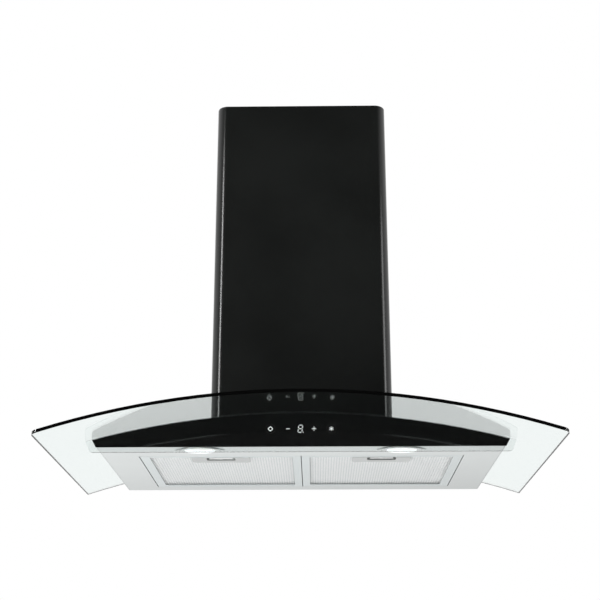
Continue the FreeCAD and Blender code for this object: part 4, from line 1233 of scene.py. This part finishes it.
@dataclass(frozen=True)
class Outlet:
    """Duct collar with its two non-return flaps."""

    def build(self) -> None:
        """Dress the outlet."""
        dress(Slot.BLACK, "outlet_collar", finish=Moulded("black_collar", (0.022, 0.022, 0.023)))
        dress(Slot.RUBBER, "flap_seat")
        dress(Slot.SCREW, "flap_pin")
        dress(Slot.BLACK, "flap_front", "flap_rear",
              finish=Moulded("black_flap", (0.03, 0.03, 0.031), (0.5, 0.68)))


# ---------------------------------------------------------------- studio


@dataclass(frozen=True)
class Softbox:
    """One soft lamp of the studio.

    Args:
        name: the lamp's name.
        place: its middle.
        aim: the point that it faces.
        width: its width.
        height: its height.
        power: its power in watts.
    """

    name: str
    place: Colour
    aim: Colour
    width: float
    height: float
    power: float

    def build(self) -> None:
        """Hang the lamp."""
        lamp = bpy.data.lights.new(self.name, "AREA")
        lamp.shape = "RECTANGLE"
        lamp.size, lamp.size_y, lamp.energy = self.width, self.height, self.power
        holder = bpy.data.objects.new(self.name, lamp)
        holder.location = self.place
        holder.rotation_euler = (Vector(self.aim) - Vector(self.place)).to_track_quat("-Z", "Y").to_euler()
        bpy.context.scene.collection.objects.link(holder)


@dataclass(frozen=True)
class Studio:
    """Camera, light, floor and white surroundings.

    Args:
        focal: focal length in picture widths.
        shift: lens shift in picture widths.
        tilt: the camera's angle above the horizon.
        turn: its turn to the left.
        roll: its roll.
        eye: its place.
        floor: height of the floor.
        ambient: light of the surroundings on the object.
    """

    focal: float = 1123.9966 / 600.0
    shift: float = 0.10
    tilt: float = 0.3207
    turn: float = 0.0137
    roll: float = -0.0007
    eye: Colour = (0.0257113, -2.3135457, -0.7131511)
    floor: float = -1.83
    ambient: float = 0.6

    def build(self) -> None:
        """Set the studio up."""
        scene = bpy.context.scene
        scene.view_settings.view_transform = "Standard"
        self.hang_camera(scene)
        self.surround(scene)
        self.lay_floor()
        for box in (Softbox("left_softbox", (-1.5, -1.95, 0.3), (-0.17, -0.24, 0.1), 0.26, 2.4, 36.0),
                    Softbox("right_softbox", (2.1, -1.7, 0.6), (0.17, -0.24, 0.1), 0.7, 1.5, 14.0),
                    Softbox("low_softbox", (-0.5, -2.4, -1.5), (0.0, -0.2, -0.2), 1.4, 1.0, 24.0)):
            box.build()

    def hang_camera(self, scene: bpy.types.Scene) -> None:
        """Place the camera as the photograph was taken."""
        lens = bpy.data.cameras.new("camera")
        lens.sensor_width = 36.0
        lens.lens = 36.0 * self.focal
        lens.shift_y = self.shift
        lens.clip_start, lens.clip_end = 0.05, 60.0
        camera = bpy.data.objects.new("camera", lens)
        forward = Vector((-math.sin(self.turn) * math.cos(self.tilt),
                          math.cos(self.turn) * math.cos(self.tilt), math.sin(self.tilt)))
        right = Vector((math.cos(self.turn), math.sin(self.turn), 0.0))
        up = right.cross(forward)
        level = math.cos(self.roll) * right + math.sin(self.roll) * up
        upright = -math.sin(self.roll) * right + math.cos(self.roll) * up
        pose = Matrix((level, upright, -forward)).transposed().to_4x4()
        pose.translation = Vector(self.eye)
        camera.matrix_world = pose
        scene.collection.objects.link(camera)
        scene.camera = camera

    def surround(self, scene: bpy.types.Scene) -> None:
        """White surroundings, also through the glass; only mirrored rays see a dark front."""
        world = bpy.data.worlds.new("studio")
        scene.world = world
        world.use_nodes = True
        world.node_tree.nodes.clear()
        work = NodeWork(world.node_tree)
        rays = work.node("ShaderNodeLightPath")
        front = work.node("ShaderNodeVectorMath", operation="DOT_PRODUCT")
        front.inputs[1].default_value = (0.0, -0.97, 0.24)
        work.join(work.node("ShaderNodeTexCoord").outputs["Generated"], front.inputs[0])
        patch = work.span(front.outputs["Value"], 1.0, 0.06, 0.1, 0.9, interpolation_type="SMOOTHSTEP")
        grounds = []
        for strength in (self.ambient, 1.0, 1.0):
            ground = work.node("ShaderNodeBackground")
            ground.inputs["Strength"].default_value = strength
            ground.inputs["Color"].default_value = (1.0, 1.0, 1.0, 1.0)
            grounds.append(ground)
        lit, seen, mirrored = grounds
        first, second = work.node("ShaderNodeMixShader"), work.node("ShaderNodeMixShader")
        for source, target in ((work.mirrored_only(rays, patch), mirrored.inputs["Color"]),
                               (work.sent_on(rays), first.inputs[0]), (lit.outputs[0], first.inputs[1]),
                               (mirrored.outputs[0], first.inputs[2]),
                               (rays.outputs["Is Camera Ray"], second.inputs[0]),
                               (first.outputs[0], second.inputs[1]), (seen.outputs[0], second.inputs[2]),
                               (second.outputs[0], work.node("ShaderNodeOutputWorld").inputs["Surface"])):
            work.join(source, target)

    def lay_floor(self) -> None:
        """Pale floor with its shadow; glass shows it white, and mirrored rays see it dark in front."""
        bench = Bench("plane", size=14.0, location=(0.0, 0.0, self.floor))
        piece = bench.piece
        piece.name = "floor"
        wiring = Wiring("pale_floor")
        wiring.paint(wiring.shades(wiring.noise(3.0), (0.3, (0.9, 0.9, 0.9)), (0.7, (0.94, 0.94, 0.94))))
        wiring.fix(Roughness=0.9, Specular_IOR_Level=0.1)
        rays = wiring.node("ShaderNodeLightPath")
        shade = wiring.span(wiring.along("Y"), 0.05, 1.0, -2.2, 0.2)
        white = wiring.node("ShaderNodeEmission")
        mix = wiring.node("ShaderNodeMixShader")
        ending = wiring.tree.nodes["Material Output"]
        for source, target in ((wiring.mirrored_only(rays, shade), white.inputs["Strength"]),
                               (wiring.sent_on(rays), mix.inputs[0]),
                               (wiring.shader.outputs[0], mix.inputs[1]), (white.outputs[0], mix.inputs[2]),
                               (mix.outputs[0], ending.inputs["Surface"])):
            wiring.join(source, target)
        piece.data.materials.append(wiring.material)


def main() -> None:
    """Build the studio and every sub-assembly in order."""
    logging.basicConfig(level=logging.INFO, format="%(message)s")
    Studio().build()
    lamps, filters = [Lamp(side) for side in Side], [GreaseFilter(side) for side in Side]
    for assembly in (Canopy(), FrontPanel(), Tray(), *lamps, *filters, Chimney(), MotorBox(), Blower(),
                     Outlet()):
        LOG.info("building %s", type(assembly).__name__)
        assembly.build()


if __name__ == "__main__":
    main()
